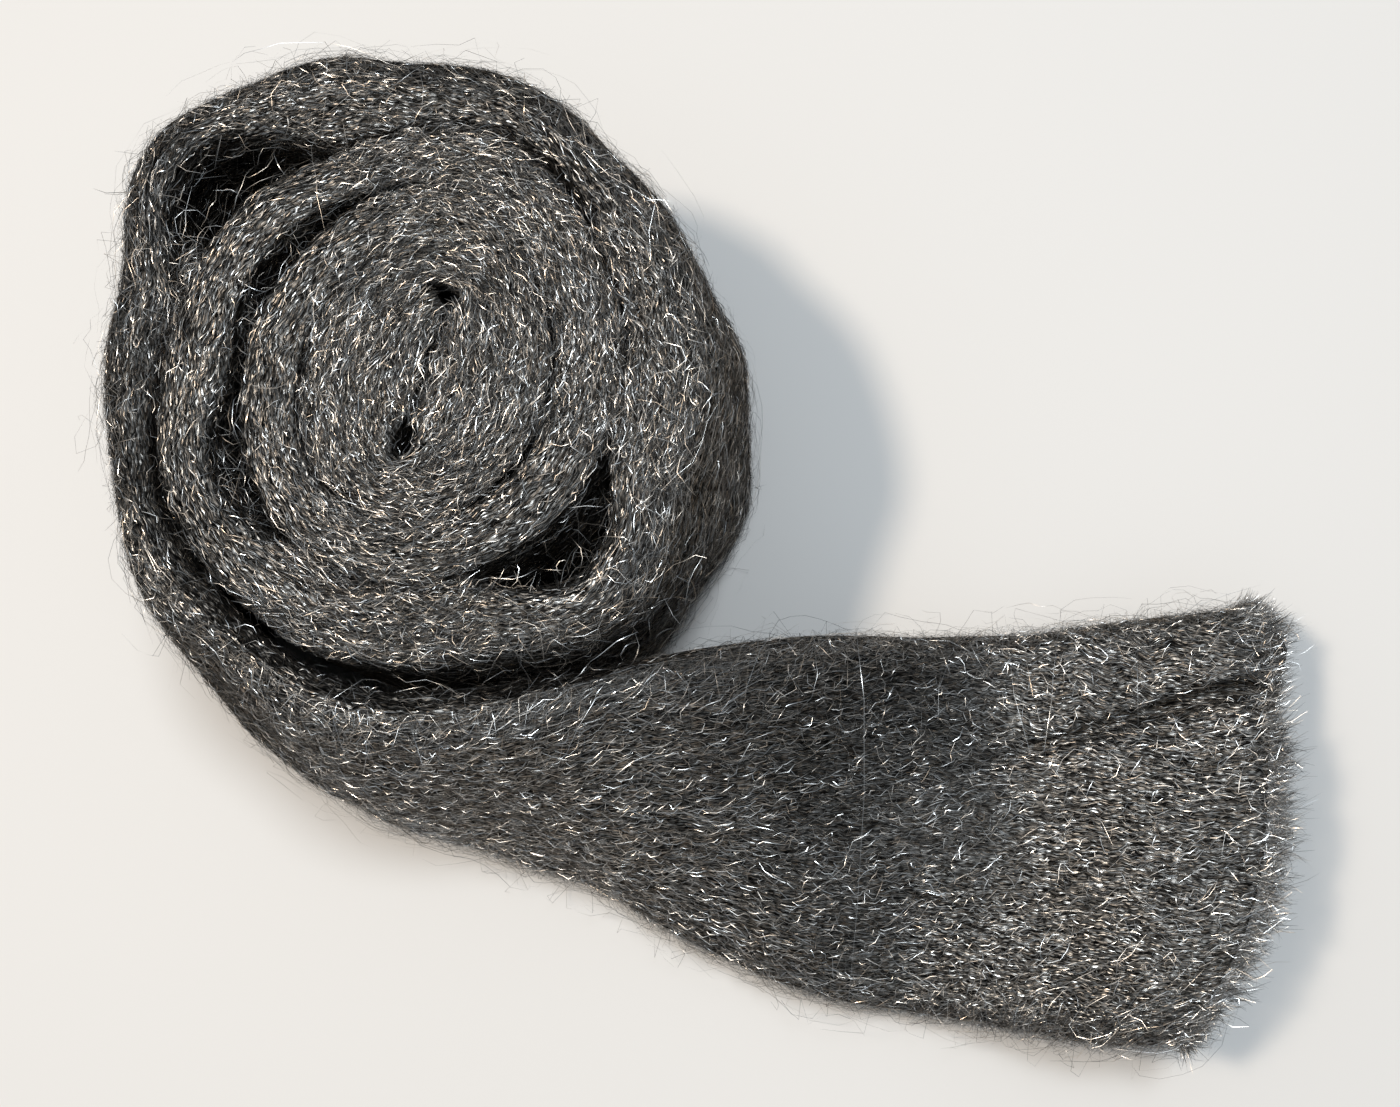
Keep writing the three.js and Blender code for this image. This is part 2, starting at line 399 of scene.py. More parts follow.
    def tail_stations(self, wound: Stations) -> Stations:
        """Stations of the loose end, from leaning on the roll to lying flat.

        Args:
            wound: The wound part, whose last station the loose end follows.

        Returns:
            The loose end's stations.
        """
        count = math.ceil(self.tail_length / self.tail_step)
        step = self.tail_length / count
        run = step * np.arange(1, count + 1)
        start = math.atan2(wound.outward[-1, 1], wound.outward[-1, 0]) + QUARTER_TURN
        share = run / self.tail_length
        heading = start + self.tail_bend * smooth(share, self.bend_from, 1.0)
        along = np.stack([np.cos(heading), np.sin(heading)], axis=1)
        flat = smooth(run, 0.0, self.flatten_length)
        ending = smooth(share, self.lift_from, 1.0)
        creased = smooth(share, self.crease_from, 1.0)
        nothing = np.zeros_like(run)
        return Stations(
            middle=wound.middle[-1] + np.cumsum(along * step, axis=0),
            outward=np.stack([along[:, 1], -along[:, 0]], axis=1),
            turn=self.last_turn + run / (2.0 * math.pi * self.width),
            width=self.width * (1.0 + self.fan_out * smooth(share, self.fan_from, 1.0)),
            thickness=mix(wound.thickness[-1], self.tail_thickness, flat),
            lean=mix(self.lean_angle, QUARTER_TURN, flat),
            twist=self.end_twist * ending,
            lift=self.end_lift * self.width * ending,
            swell=nothing + self.barrel_bulge,
            lump=nothing + self.lump_depth,
            lump_place=self.last_turn * self.lumps_per_turn + run / self.lump_length,
            upper_radius=nothing + self.outer_edge_radius,
            foot_radius=mix(wound.foot_radius[-1], self.outer_edge_radius, flat),
            crease=self.crease_depth * creased,
            crease_place=mix(self.crease_places[0], self.crease_places[1], creased),
            shortfall=self.corner_drop * self.width * ending,
        )

    def stations(self, spacing: float) -> Stations:
        """Sets stations along the whole strip.

        Args:
            spacing: Distance from one to the next.

        Returns:
            All stations, from the roll's middle to the cut end.
        """
        wound = self.wound_stations()
        tail = self.tail_stations(wound)
        joined = {
            name: np.concatenate([values, getattr(tail, name)]) for name, values in vars(wound).items()
        }
        return Stations(**joined).evenly(spacing)


@dataclass
class StripSkin:
    """The strip's skin as a grid of points: stations along it, ring places round it."""

    strip: WoundStrip
    spacing: float = 2.0
    face_points: int = 38
    back_points: int = 18
    top_points: int = 11
    foot_points: int = 5
    corner_points: int = 4
    top_crown: float = 0.8
    crease_crowding: float = 0.6
    crease_reach: float = 10.0
    standing_turn: float = 3.5
    standing_ramp: float = 0.06
    wound_crowding: float = 2.4
    crowding_ramp: float = 0.2
    face_share: float = 0.49
    top_reach: tuple[float, float] = (6.0, 14.0)
    gap_reach: tuple[float, float] = (30.0, 60.0)
    tail_ramp: float = 0.08
    stations: Stations = field(init=False)
    across: np.ndarray = field(init=False)
    through: np.ndarray = field(init=False)
    points: np.ndarray = field(init=False)
    normals: np.ndarray = field(init=False)
    shift: np.ndarray = field(init=False)

    def __post_init__(self) -> None:
        """Works out the sections and their places in space."""
        self.stations = self.strip.stations(self.spacing)
        self.across, self.through = self._rings()
        self.points = self._place()
        self.normals = self._normals(self.points)
        self.shift = np.zeros(2)

    def _rings(self) -> tuple[np.ndarray, np.ndarray]:
        """Draws the section at every station.

        Returns:
            Place across the width and through the thickness, for each point of each ring.
        """
        at = self.stations
        top, face = at.width / 2.0, at.thickness / 2.0
        limit = at.thickness * self.strip.largest_round_share
        upper = np.minimum(at.upper_radius, limit)
        foot = np.minimum(at.foot_radius, limit)
        standing = smooth(at.turn, self.standing_turn - self.crowding_ramp, self.standing_turn)
        crowding = mix(self.wound_crowding, 1.0, standing)
        across: list[np.ndarray] = []
        through: list[np.ndarray] = []

        def add(place: np.ndarray, depth: np.ndarray) -> None:
            """Adds one point to every ring."""
            across.append(place)
            through.append(np.broadcast_to(depth, place.shape))

        def corner(place: np.ndarray, depth: np.ndarray, radius: np.ndarray, first: float) -> None:
            """Adds a rounded corner round the given middle, from its first angle on."""
            for angle in first + QUARTER_TURN * np.linspace(0.0, 1.0, self.corner_points):
                add(place + radius * math.sin(angle), depth + radius * math.cos(angle))

        inner_steps = np.linspace(0.0, 1.0, self.face_points + 2)[1:-1]
        corner(-top + foot, face - foot, foot, -QUARTER_TURN)
        crease_at = at.crease_place * at.width
        gather = self.crease_crowding * at.crease / self.strip.crease_depth
        for share in inner_steps:
            place = mix(-top + foot, top - upper, 1.0 - (1.0 - share) ** crowding)
            away = place - crease_at
            add(place - gather * away * np.exp(-((away / self.crease_reach) ** 2)), face)
        corner(top - upper, face - upper, upper, 0.0)
        for share in np.linspace(1.0, -1.0, self.top_points + 2)[1:-1]:
            add(top + self.top_crown * (1.0 - share * share), (face - upper) * share)
        corner(top - upper, -face + upper, upper, QUARTER_TURN)
        for share in np.linspace(1.0, 0.0, self.back_points + 2)[1:-1]:
            add(mix(-top + foot, top - upper, 1.0 - (1.0 - share) ** crowding), -face)
        corner(-top + foot, -face + foot, foot, 2.0 * QUARTER_TURN)
        for share in np.linspace(-1.0, 1.0, self.foot_points + 2)[1:-1]:
            add(-top, (face - foot) * share)
        return np.stack(across, axis=1), np.stack(through, axis=1)

    def _place(self) -> np.ndarray:
        """Stands the sections in space, resting on z = 0.

        Returns:
            Their points, in millimetres.
        """
        at = self.stations
        outward = np.concatenate([at.outward, np.zeros((len(at.turn), 1))], axis=1)
        along = np.stack([-outward[:, 1], outward[:, 0], outward[:, 2]], axis=1)
        up = np.array([0.0, 0.0, 1.0])
        angle = at.lean + at.twist
        cos, sin = np.cos(angle)[:, None], np.sin(angle)[:, None]
        rise = up * cos - outward * sin
        deep = outward * cos + up * sin
        edge_reach = at.width * (np.abs(np.cos(at.lean)) + np.sin(at.twist))
        reach = edge_reach + at.thickness * np.abs(sin[:, 0])
        centre = np.concatenate([at.middle, (reach / 2.0 + at.lift)[:, None]], axis=1)
        half = at.width[:, None] / 2.0
        bulge = at.swell[:, None] * (1.0 - (self.across / half) ** 2)
        crease_at = (at.crease_place * at.width)[:, None]
        groove = np.maximum(0.0, 1.0 - np.abs(self.across - crease_at) / self.strip.crease_half_width)
        thickness = at.thickness[:, None]
        facing = self.through > self.face_share * thickness
        lump = at.lump[:, None] * self._lump_height() * np.maximum(0.0, 2.0 * self.through / thickness)
        depth = self.through + bulge + lump - at.crease[:, None] * groove * facing
        pulled = at.shortfall[:, None] * (0.5 - self.across / at.width[:, None]) ** self.strip.corner_falloff
        return (
            centre[:, None]
            + rise[:, None] * self.across[..., None]
            + deep[:, None] * depth[..., None]
            - along[:, None] * pulled[..., None]
        )

    def _lump_height(self) -> np.ndarray:
        """Adds up the waves of the free face's soft lumps.

        Returns:
            The lumps' height, from -1 to 1, at each grid point.
        """
        along = self.stations.lump_place[:, None]
        across = self.across / self.stations.width[:, None]
        waves = self.strip.lump_waves
        return sum(share * np.sin(2.0 * math.pi * (w * along + slant * across)) for share, w, slant in waves)

    @staticmethod
    def _normals(points: np.ndarray) -> np.ndarray:
        """Outward directions of a grid that closes round its rings.

        Args:
            points: The grid's points.

        Returns:
            The direction at each.
        """
        along = np.gradient(points, axis=0)
        around = np.roll(points, -1, axis=1) - np.roll(points, 1, axis=1)
        return unit(np.cross(along, around))

    def ring_run(self) -> np.ndarray:
        """Measures round the rings.

        Returns:
            Distance from each ring's first point, at each of its points.
        """
        steps = np.linalg.norm(np.roll(self.points, -1, axis=1) - self.points, axis=2)
        run = np.cumsum(steps, axis=1)
        return np.concatenate([np.zeros((len(run), 1)), run[:, :-1]], axis=1)

    def exposure(self) -> np.ndarray:
        """How well the skin can be seen.

        Returns:
            0 for hidden to 1 for open, at each grid point.
        """
        turn = self.stations.turn[:, None]
        depth = self.stations.width[:, None] / 2.0 - self.across
        upper = 1.0 - smooth(depth, *self.top_reach)
        facing_out = self.through > 0.0
        open_wall = smooth(turn, self.standing_turn, self.standing_turn + self.standing_ramp) * facing_out
        places = self.strip.wide_places()
        gap_out = sum(hump(turn, place.at - 1.0, place.spread) for place in places)
        gap_in = sum(hump(turn, place.at, place.spread) for place in places)
        gap = np.where(facing_out, gap_out, gap_in) * (1.0 - smooth(depth, *self.gap_reach))
        tail = smooth(turn, self.strip.last_turn - self.tail_ramp, self.strip.last_turn)
        tail = np.broadcast_to(tail, depth.shape)
        return np.clip(np.maximum.reduce([upper, open_wall, gap, tail]), 0.0, 1.0)

    def displace(self, depth: np.ndarray) -> None:
        """Moves the skin outwards, but never below the surface it stands on.

        Args:
            depth: How far each point moves, in millimetres.
        """
        self.points = self.points + self.normals * depth[..., None]
        self.points[..., 2] = np.maximum(self.points[..., 2], 0.0)
        self.normals = self._normals(self.points)

    def settle(self, centre: np.ndarray) -> None:
        """Shifts the skin in plan.

        Args:
            centre: Where the middle of its box comes to lie, in millimetres.
        """
        low, high = self.points.reshape(-1, 3).min(axis=0), self.points.reshape(-1, 3).max(axis=0)
        self.shift = centre[:2] - (low[:2] + high[:2]) / 2.0
        self.points[..., :2] += self.shift


def spine_line(outline: np.ndarray, share: float = 0.86) -> tuple[np.ndarray, np.ndarray]:
    """Middle line of a section, and for each point of its outline the nearest place on that line.

    Args:
        outline: The section's points.
        share: Share of the section's width that the line takes.

    Returns:
        The line's direction, and the places on it.
    """
    middle = outline.mean(axis=0)
    spine = outline[np.argmax(np.linalg.norm(outline - middle, axis=1))] - middle
    spine = spine / np.linalg.norm(spine)
    return spine, middle + np.outer((outline - middle) @ spine * share, spine)


def patchy(seed: int, along: np.ndarray, around: np.ndarray, cell: tuple[float, float]) -> np.ndarray:
    """Smooth random patches over the skin, from -1 to 1.

    Args:
        seed: Seed of the random values.
        along: Distance along the strip at each point.
        around: Distance round the ring at each point.
        cell: Size of a patch along and round, in the same unit.

    Returns:
        The patches' value at each point.
    """
    x, y = along / cell[0], around / cell[1]
    size = (int(x.max()) + 3, int(y.max()) + 3)
    grid = np.random.default_rng(seed).uniform(-1.0, 1.0, size)
    i, j = np.floor(x).astype(int), np.floor(y).astype(int)
    u, v = smooth(x - i, 0.0, 1.0), smooth(y - j, 0.0, 1.0)
    low = mix(grid[i, j], grid[i + 1, j], u)
    high = mix(grid[i, j + 1], grid[i + 1, j + 1], u)
    return mix(low, high, v)


class Finish(Enum):
    """Named finishes of the wool."""

    MAT = "wool_mat"
    FIBRE = "wool_fibre"
    OPEN = "lit_tail_fibre"
    GLINT = "bright_fibre"


@dataclass(frozen=True)
class FibreTone:
    """Colours and roughness of one fibre finish."""

    dark: Colour
    pale: Colour
    warm: Colour
    warm_share: float
    rough_low: float
    rough_high: float
    contrast: float


TONES: dict[Finish, FibreTone] = {
    # The mat's near-black dark tone is painted shade of the deep gaps between fibres; its pale and warm
    # tones are the wool's own colour.
    Finish.MAT: FibreTone(
        dark=(0.008, 0.008, 0.008), pale=(0.62, 0.58, 0.53), warm=(0.5, 0.4, 0.31),
        warm_share=0.3, rough_low=0.28, rough_high=0.5, contrast=1.9,
    ),
    Finish.FIBRE: FibreTone(
        dark=(0.035, 0.034, 0.033), pale=(0.68, 0.65, 0.615), warm=(0.6, 0.5, 0.4),
        warm_share=0.3, rough_low=0.28, rough_high=0.52, contrast=1.8,
    ),
    # Brighter copy of the fibre finish, used only on the loose end: painted light that makes the tail read
    # lighter than the roll.
    Finish.OPEN: FibreTone(
        dark=(0.1, 0.097, 0.094), pale=(0.98, 0.95, 0.91), warm=(0.9, 0.78, 0.66),
        warm_share=0.3, rough_low=0.3, rough_high=0.55, contrast=1.2,
    ),
    Finish.GLINT: FibreTone(
        dark=(0.55, 0.54, 0.53), pale=(0.94, 0.93, 0.91), warm=(0.9, 0.8, 0.7),
        warm_share=0.2, rough_low=0.24, rough_high=0.38, contrast=1.0,
    ),
}


class Wiring:
    """Nodes of one shader tree, and the links between them."""

    def __init__(self, tree: bpy.types.NodeTree) -> None:
        """Takes the tree that gets the nodes."""
        self.tree = tree

    def join(self, node: bpy.types.Node, inputs: Inputs) -> None:
        """Sets or links inputs of a node.

        Args:
            node: The node.
            inputs: For each input a plain value, or the output that it is linked to.
        """
        for name, value in inputs.items():
            if isinstance(value, bpy.types.NodeSocket):
                self.tree.links.new(value, node.inputs[name])
            else:
                node.inputs[name].default_value = value

    def add(self, kind: str, inputs: Inputs | None = None, **settings: object) -> bpy.types.Node:
        """Adds a node.

        Args:
            kind: The kind of shader node, without the words ShaderNode.
            inputs: For each input a plain value, or the output that it is linked to.
            settings: The node's own settings, made before its inputs.

        Returns:
            The new node.
        """
        node = self.tree.nodes.new("ShaderNode" + kind)
        for name, value in settings.items():
            setattr(node, name, value)
        self.join(node, inputs or {})
        return node

    def place(self, group: type[ShaderGroup], inputs: Inputs) -> bpy.types.Node:
        """Adds a group node with its own values, and returns it."""
        return self.add("Group", inputs, node_tree=group.tree())

    def math(self, operation: str, first: Socket, second: Socket) -> bpy.types.NodeSocket:
        """Result of a sum on two values."""
        return self.add("Math", {0: first, 1: second}, operation=operation).outputs[0]

    def vector(self, operation: str, first: Socket, second: Socket | None = None) -> bpy.types.NodeSocket:
        """Result of a sum on vectors.

        Args:
            operation: The kind of sum.
            first: The vector.
            second: The other vector, or the factor of a SCALE, or none.

        Returns:
            The new vector.
        """
        inputs = {0: first}
        if second is not None:
            inputs["Scale" if operation == "SCALE" else 1] = second
        return self.add("VectorMath", inputs, operation=operation).outputs[0]

    def blend(self, share: Socket, low: Socket, high: Socket) -> bpy.types.NodeSocket:
        """Colour between low and high at the given share."""
        inputs = {"Factor": share, "A": low, "B": high}
        return self.add("Mix", inputs, data_type="RGBA").outputs["Result"]


class ShaderGroup:
    """Node group with named sockets, built once and placed in each material that uses it."""

    NAME = ""
    INPUTS: dict[str, str] = {}
    OUTPUTS: dict[str, str] = {}

    @classmethod
    def tree(cls) -> bpy.types.ShaderNodeTree:
        """Builds the group once, or returns it.

        Returns:
            The group, with the class's inputs and outputs.
        """
        known = bpy.data.node_groups.get(cls.NAME)
        if known:
            return known
        tree = bpy.data.node_groups.new(cls.NAME, "ShaderNodeTree")
        for way, sockets in (("INPUT", cls.INPUTS), ("OUTPUT", cls.OUTPUTS)):
            for name, kind in sockets.items():
                tree.interface.new_socket(name, in_out=way, socket_type=kind)
        source = tree.nodes.new("NodeGroupInput")
        sink = tree.nodes.new("NodeGroupOutput")
        wiring = Wiring(tree)
        wiring.join(sink, cls.wire(wiring, source.outputs))
        return tree

    @classmethod
    def wire(cls, wiring: Wiring, source: bpy.types.NodeOutputs) -> Inputs:
        """Builds what lies between the group's inputs and outputs.

        Args:
            wiring: The group's nodes.
            source: The group's inputs.

        Returns:
            What each of the group's outputs puts out.
        """
        raise NotImplementedError


class ToneGroup(ShaderGroup):
    """A fibre's colour and roughness, picked by two random values."""

    NAME = "fibre_tone"
    INPUTS = dict.fromkeys(("Dark", "Pale", "Warm"), COLOUR_SOCKET) | dict.fromkeys(
        ("Value", "Warm Value", "Warm Share", "Contrast", "Rough Low", "Rough High"), VALUE_SOCKET
    )
    OUTPUTS = {"Color": COLOUR_SOCKET, "Roughness": VALUE_SOCKET}

    @classmethod
    def wire(cls, wiring: Wiring, source: bpy.types.NodeOutputs) -> Inputs:
        """Blends dark and pale by the value, and tints the pale ones of some fibres.

        Args:
            wiring: The group's nodes.
            source: The group's inputs.

        Returns:
            Color and Roughness.
        """
        power = wiring.math("POWER", source["Value"], source["Contrast"])
        shade = wiring.blend(power, source["Dark"], source["Pale"])
        warm = wiring.math("LESS_THAN", source["Warm Value"], source["Warm Share"])
        tint = wiring.blend(wiring.math("MULTIPLY", warm, power), shade, source["Warm"])
        rough = {"Factor": source["Value"], "A": source["Rough High"], "B": source["Rough Low"]}
        return {"Color": tint, "Roughness": wiring.add("Mix", rough).outputs["Result"]}


class CellGroup(ShaderGroup):
    """Two random values for each cell of the bake map."""

    NAME = "fibre_cell"
    INPUTS = {"Place": VECTOR_SOCKET, "Cells": VALUE_SOCKET}
    OUTPUTS = {"Value": VALUE_SOCKET, "Second": VALUE_SOCKET}

    @classmethod
    def wire(cls, wiring: Wiring, source: bpy.types.NodeOutputs) -> Inputs:
        """Numbers the cells and draws their values.

        Args:
            wiring: The group's nodes.
            source: The group's inputs.

        Returns:
            Value and Second.
        """
        cell = wiring.vector("FLOOR", wiring.vector("SCALE", source["Place"], source["Cells"]))
        noise = wiring.add("TexWhiteNoise", {"Vector": cell}, noise_dimensions="2D")
        parts = wiring.add("SeparateColor", {0: noise.outputs["Color"]}).outputs
        return {"Value": parts[0], "Second": parts[1]}


class StrandGroup(ShaderGroup):
    """Fine strands along the strip, each with its own values and slant."""

    NAME = "fine_strands"
    INPUTS = {"Place": VECTOR_SOCKET} | dict.fromkeys(("Length", "Width", "Wander", "Tilt"), VALUE_SOCKET)
    OUTPUTS = {"Value": VALUE_SOCKET, "Second": VALUE_SOCKET, "Normal": VECTOR_SOCKET}
    SWAYS_PER_METRE = 190.0
    SWAY_DETAIL = 2.0
    CENTRE = (0.5, 0.5, 0.5)
    # Darkens each strand away from its middle: painted shade between the strands.
    FADE = {"From Min": 0.2, "From Max": 0.75, "To Min": 1.0, "To Max": 0.25}

    @classmethod
    def wire(cls, wiring: Wiring, source: bpy.types.NodeOutputs) -> Inputs:
        """Sways the place, cuts it into long cells, slants each of them and darkens it away from its middle
        as painted shade between strands.

        Args:
            wiring: The group's nodes.
            source: The group's inputs.

        Returns:
            Value, Second and Normal.
        """
        place = source["Place"]
        noise = {"Vector": place, "Scale": cls.SWAYS_PER_METRE, "Detail": cls.SWAY_DETAIL}
        sway = wiring.add("TexNoise", noise, noise_dimensions="2D").outputs["Color"]
        push = wiring.vector("SCALE", wiring.vector("SUBTRACT", sway, cls.CENTRE), source["Wander"])
        size = wiring.add("CombineXYZ", {"X": source["Length"], "Y": source["Width"], "Z": 1.0})
        cell = wiring.vector("DIVIDE", wiring.vector("ADD", place, push), size.outputs[0])
        strand = wiring.add("TexVoronoi", {"Vector": cell, "Scale": 1.0}, voronoi_dimensions="2D").outputs
        parts = wiring.add("SeparateColor", {0: strand["Color"]}).outputs
        painted_shade = wiring.add("MapRange", {"Value": strand["Distance"]} | cls.FADE).outputs["Result"]
        slant = wiring.vector("SUBTRACT", strand["Color"], cls.CENTRE)
        tilt = wiring.vector("SCALE", slant, source["Tilt"])
        normal = wiring.vector("ADD", wiring.add("NewGeometry").outputs["Normal"], tilt)
        return {
            "Value": wiring.math("MULTIPLY", parts[0], painted_shade),
            "Second": parts[1],
            "Normal": wiring.vector("NORMALIZE", normal),
        }


class WoolMaterials:
    """Materials of the wool: the mat under the fibres, and the fibres themselves."""

    SPECULAR_TINT = (0.2, 0.2, 0.2, 1.0)
    STRANDS = {"Length": 0.0018, "Width": 0.00024, "Wander": 0.0022, "Tilt": 1.0}

    def __init__(self, cells: int) -> None:
        """Builds the materials.

        Args:
            cells: Cells along one side of the bake map, one for each fibre.
        """
        self.cells = cells
        self.mat = self._mat()
        self.fibres = {finish: self._fibre(finish) for finish in (Finish.FIBRE, Finish.OPEN, Finish.GLINT)}

    def _start(self, finish: Finish) -> tuple[bpy.types.Material, Wiring, bpy.types.Node]:
        """Makes a bare metal material.

        Args:
            finish: The finish that it will have.

        Returns:
            The material, its nodes and its shader.
        """
        material = bpy.data.materials.new(finish.value)
        material.use_nodes = True
        shader = material.node_tree.nodes["Principled BSDF"]
        wiring = Wiring(material.node_tree)
        wiring.join(shader, {"Metallic": 1.0, "Specular Tint": self.SPECULAR_TINT})
        return material, wiring, shader

    @staticmethod
    def _set_tone(wiring: Wiring, shader: bpy.types.Node, tone: FibreTone, picked: bpy.types.Node) -> None:
        """Gives a material its colours and roughness.

        Args:
            wiring: The material's nodes.
            shader: Its shader.
            tone: The tone that it takes.
            picked: Node with the two random values that pick within the tone.
        """
        group = wiring.place(
            ToneGroup,
            {
                "Dark": (*tone.dark, 1.0),
                "Pale": (*tone.pale, 1.0),
                "Warm": (*tone.warm, 1.0),
                "Warm Share": tone.warm_share,
                "Contrast": tone.contrast,
                "Rough Low": tone.rough_low,
                "Rough High": tone.rough_high,
                "Value": picked.outputs["Value"],
                "Warm Value": picked.outputs["Second"],
            },
        )
        wiring.join(shader, {"Base Color": group.outputs["Color"], "Roughness": group.outputs["Roughness"]})

    def _fibre(self, finish: Finish) -> bpy.types.Material:
        """Makes a finish whose tone changes from fibre to fibre.

        Args:
            finish: The finish.

        Returns:
            The material.
        """
        material, wiring, shader = self._start(finish)
        place = wiring.add("UVMap", uv_map=BAKE_MAP).outputs[0]
        cell = wiring.place(CellGroup, {"Place": place, "Cells": float(self.cells)})
        self._set_tone(wiring, shader, TONES[finish], cell)
        return material

    def _mat(self) -> bpy.types.Material:
        """Makes the mat's finish of fine strands, near black between them as painted shade of the wool's
        depth.

        Returns:
            The material.
        """
        material, wiring, shader = self._start(Finish.MAT)
        place = wiring.add("UVMap", uv_map=STRIP_MAP).outputs[0]
        strands = wiring.place(StrandGroup, {"Place": place} | self.STRANDS)
        self._set_tone(wiring, shader, TONES[Finish.MAT], strands)
        wiring.join(shader, {"Normal": strands.outputs["Normal"]})
        return material


def make_mesh(
    name: str,
    points: np.ndarray,
    faces: np.ndarray,
    maps: dict[str, np.ndarray],
    materials: Sequence[bpy.types.Material],
    slots: np.ndarray | None = None,
) -> bpy.types.Object:
    """Makes a smooth mesh object that belongs to the wool.

    Args:
        name: The piece's name.
        points: Corners in metres, one row each.
        faces: Four corner numbers a face.
        maps: Flat maps by name, a pair of numbers for each corner of each face.
        materials: The piece's materials.
        slots: Which material each face takes, or none for the first.

    Returns:
        The new object, riding with the part's body.
    """
    mesh = bpy.data.meshes.new(name)
    count = len(faces)
    mesh.vertices.add(len(points))
    mesh.vertices.foreach_set("co", points.astype(np.float32).ravel())
    mesh.loops.add(count * 4)
    mesh.loops.foreach_set("vertex_index", faces.astype(np.int32).ravel())
    mesh.polygons.add(count)
    mesh.polygons.foreach_set("loop_start", np.arange(0, count * 4, 4, dtype=np.int32))
    mesh.polygons.foreach_set("loop_total", np.full(count, 4, dtype=np.int32))
    mesh.update(calc_edges=True)
    for label, values in maps.items():
        layer = mesh.uv_layers.new(name=label)
        layer.data.foreach_set("uv", values.astype(np.float32).ravel())
    for material in materials:
        mesh.materials.append(material)
    if slots is not None:
        mesh.polygons.foreach_set("material_index", slots.astype(np.int32))
    mesh.polygons.foreach_set("use_smooth", np.ones(count, dtype=bool))
    mesh.validate()
    made = bpy.data.objects.new(name, mesh)
    bpy.context.scene.collection.objects.link(made)
    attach(made, BODY)
    return made


@dataclass
class WoolMat:
    """The strip's dense mat under the loose fibres."""

    skin: StripSkin
    lump_depth: float = 0.5
    lump_size: tuple[float, float] = (24.0, 11.0)
    small_lump_size: tuple[float, float] = (11.0, 5.0)
    small_lump_share: float = 0.6
    bundle_depth: float = 0.4
    bundle_size: tuple[float, float] = (17.0, 2.6)
    calm_reach: float = 8.0
    packed_share: float = 0.35
    slack_turns: tuple[float, float] = (2.4, 3.4)
    sink: float = 0.35
    end_shares: tuple[float, ...] = (0.35, 0.72, 0.93)
    closing_shares: tuple[float, ...] = (0.55, 0.2)
    last_step: float = 2.0
    seed: int = 5

    def shape(self) -> None:
        """Works lumps and bundles of fibre into the skin."""
        run = np.broadcast_to(self.skin.stations.run()[:, None], self.skin.across.shape)
        around = self.skin.ring_run()
        small_lumps = patchy(self.seed + 1, run, around, self.small_lump_size)
        lumps = patchy(self.seed, run, around, self.lump_size) + self.small_lump_share * small_lumps
        bundles = patchy(self.seed + 2, run, around, self.bundle_size)
        seam = np.minimum(around, around.max(axis=1, keepdims=True) - around)
        calm = smooth(seam, 0.0, self.calm_reach)
        slack = mix(self.packed_share, 1.0, smooth(self.skin.stations.turn, *self.slack_turns))[:, None]
        depth = (self.lump_depth * lumps * slack + self.bundle_depth * bundles) * calm - self.sink
        self.skin.displace(depth)

    def build(self, material: bpy.types.Material) -> bpy.types.Object:
        """Makes the mat's mesh.

        Args:
            material: Its finish.

        Returns:
            The piece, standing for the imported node.
        """
        rows, ring = self.skin.across.shape
        tapered = self.skin.points.copy()
        for back, share in enumerate(self.end_shares, start=1):
            tapered[-back] = mix(spine_line(tapered[-back])[1], tapered[-back], share)
        points = tapered.reshape(-1, 3)
        here = np.arange(rows - 1)[:, None] * ring + np.arange(ring)[None, :]
        beside = np.arange(rows - 1)[:, None] * ring + (np.arange(ring)[None, :] + 1) % ring
        faces = np.stack([here, here + ring, beside + ring, beside], axis=-1).reshape(-1, 4)
        run = self.skin.stations.run() * MM
        around = self.skin.ring_run() * MM
        closed = np.concatenate([around, around[:, -1:] + self.last_step * MM], axis=1)
        i = np.repeat(np.arange(rows - 1), ring)
        j = np.tile(np.arange(ring), rows - 1)
        flat = np.stack(
            [
                np.stack([run[i], closed[i, j]], axis=1),
                np.stack([run[i + 1], closed[i + 1, j]], axis=1),
                np.stack([run[i + 1], closed[i + 1, j + 1]], axis=1),
                np.stack([run[i], closed[i, j + 1]], axis=1),
            ],
            axis=1,
        )
        ends, end_faces, end_map = self._ends(points, rows, ring)
        made = make_mesh(
            "wool_mat",
            np.concatenate([points, ends]) * MM,
            np.concatenate([faces, end_faces]),
            {STRIP_MAP: np.concatenate([flat, end_map])},
            [material],
        )
        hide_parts(NODE)
        LOG.info("wool mat: %d faces", len(faces))
        return made

    def _ends(self, points: np.ndarray, rows: int, ring: int) -> tuple[np.ndarray, np.ndarray, np.ndarray]:
        """Closes both ends with rings that shrink to a line along the section's middle.

        Args:
            points: The skin's points.
            rows: Number of stations.
            ring: Points in each ring.

        Returns:
            New points, new faces, and those faces' places in the strip map.
        """
        new_points: list[np.ndarray] = []
        new_faces: list[np.ndarray] = []
        count = len(points)
        for first, forward in ((0, True), ((rows - 1) * ring, False)):
            outline = points[first:first + ring]
            line = spine_line(outline)[1]
            before = first
            for step in self.closing_shares:
                new_points.append(mix(line, outline, step))
                after = count
                count += ring
                here = np.arange(ring)
                beside = (here + 1) % ring
                quad = [before + here, before + beside, after + beside, after + here]
                new_faces.append(np.stack(quad if forward else quad[::-1], axis=1))
                before = after
            middles = ring // 2
            here = np.arange(middles)
            quad = [before + here, before + here + 1, before + ring - 1 - here - 1, before + ring - 1 - here]
            new_faces.append(np.stack(quad if forward else quad[::-1], axis=1)[:middles - 1])
        faces = np.concatenate(new_faces)
        everything = np.concatenate([points, *new_points])
        flat = everything[faces][..., [1, 2]] * MM
        return np.concatenate(new_points), faces, flat


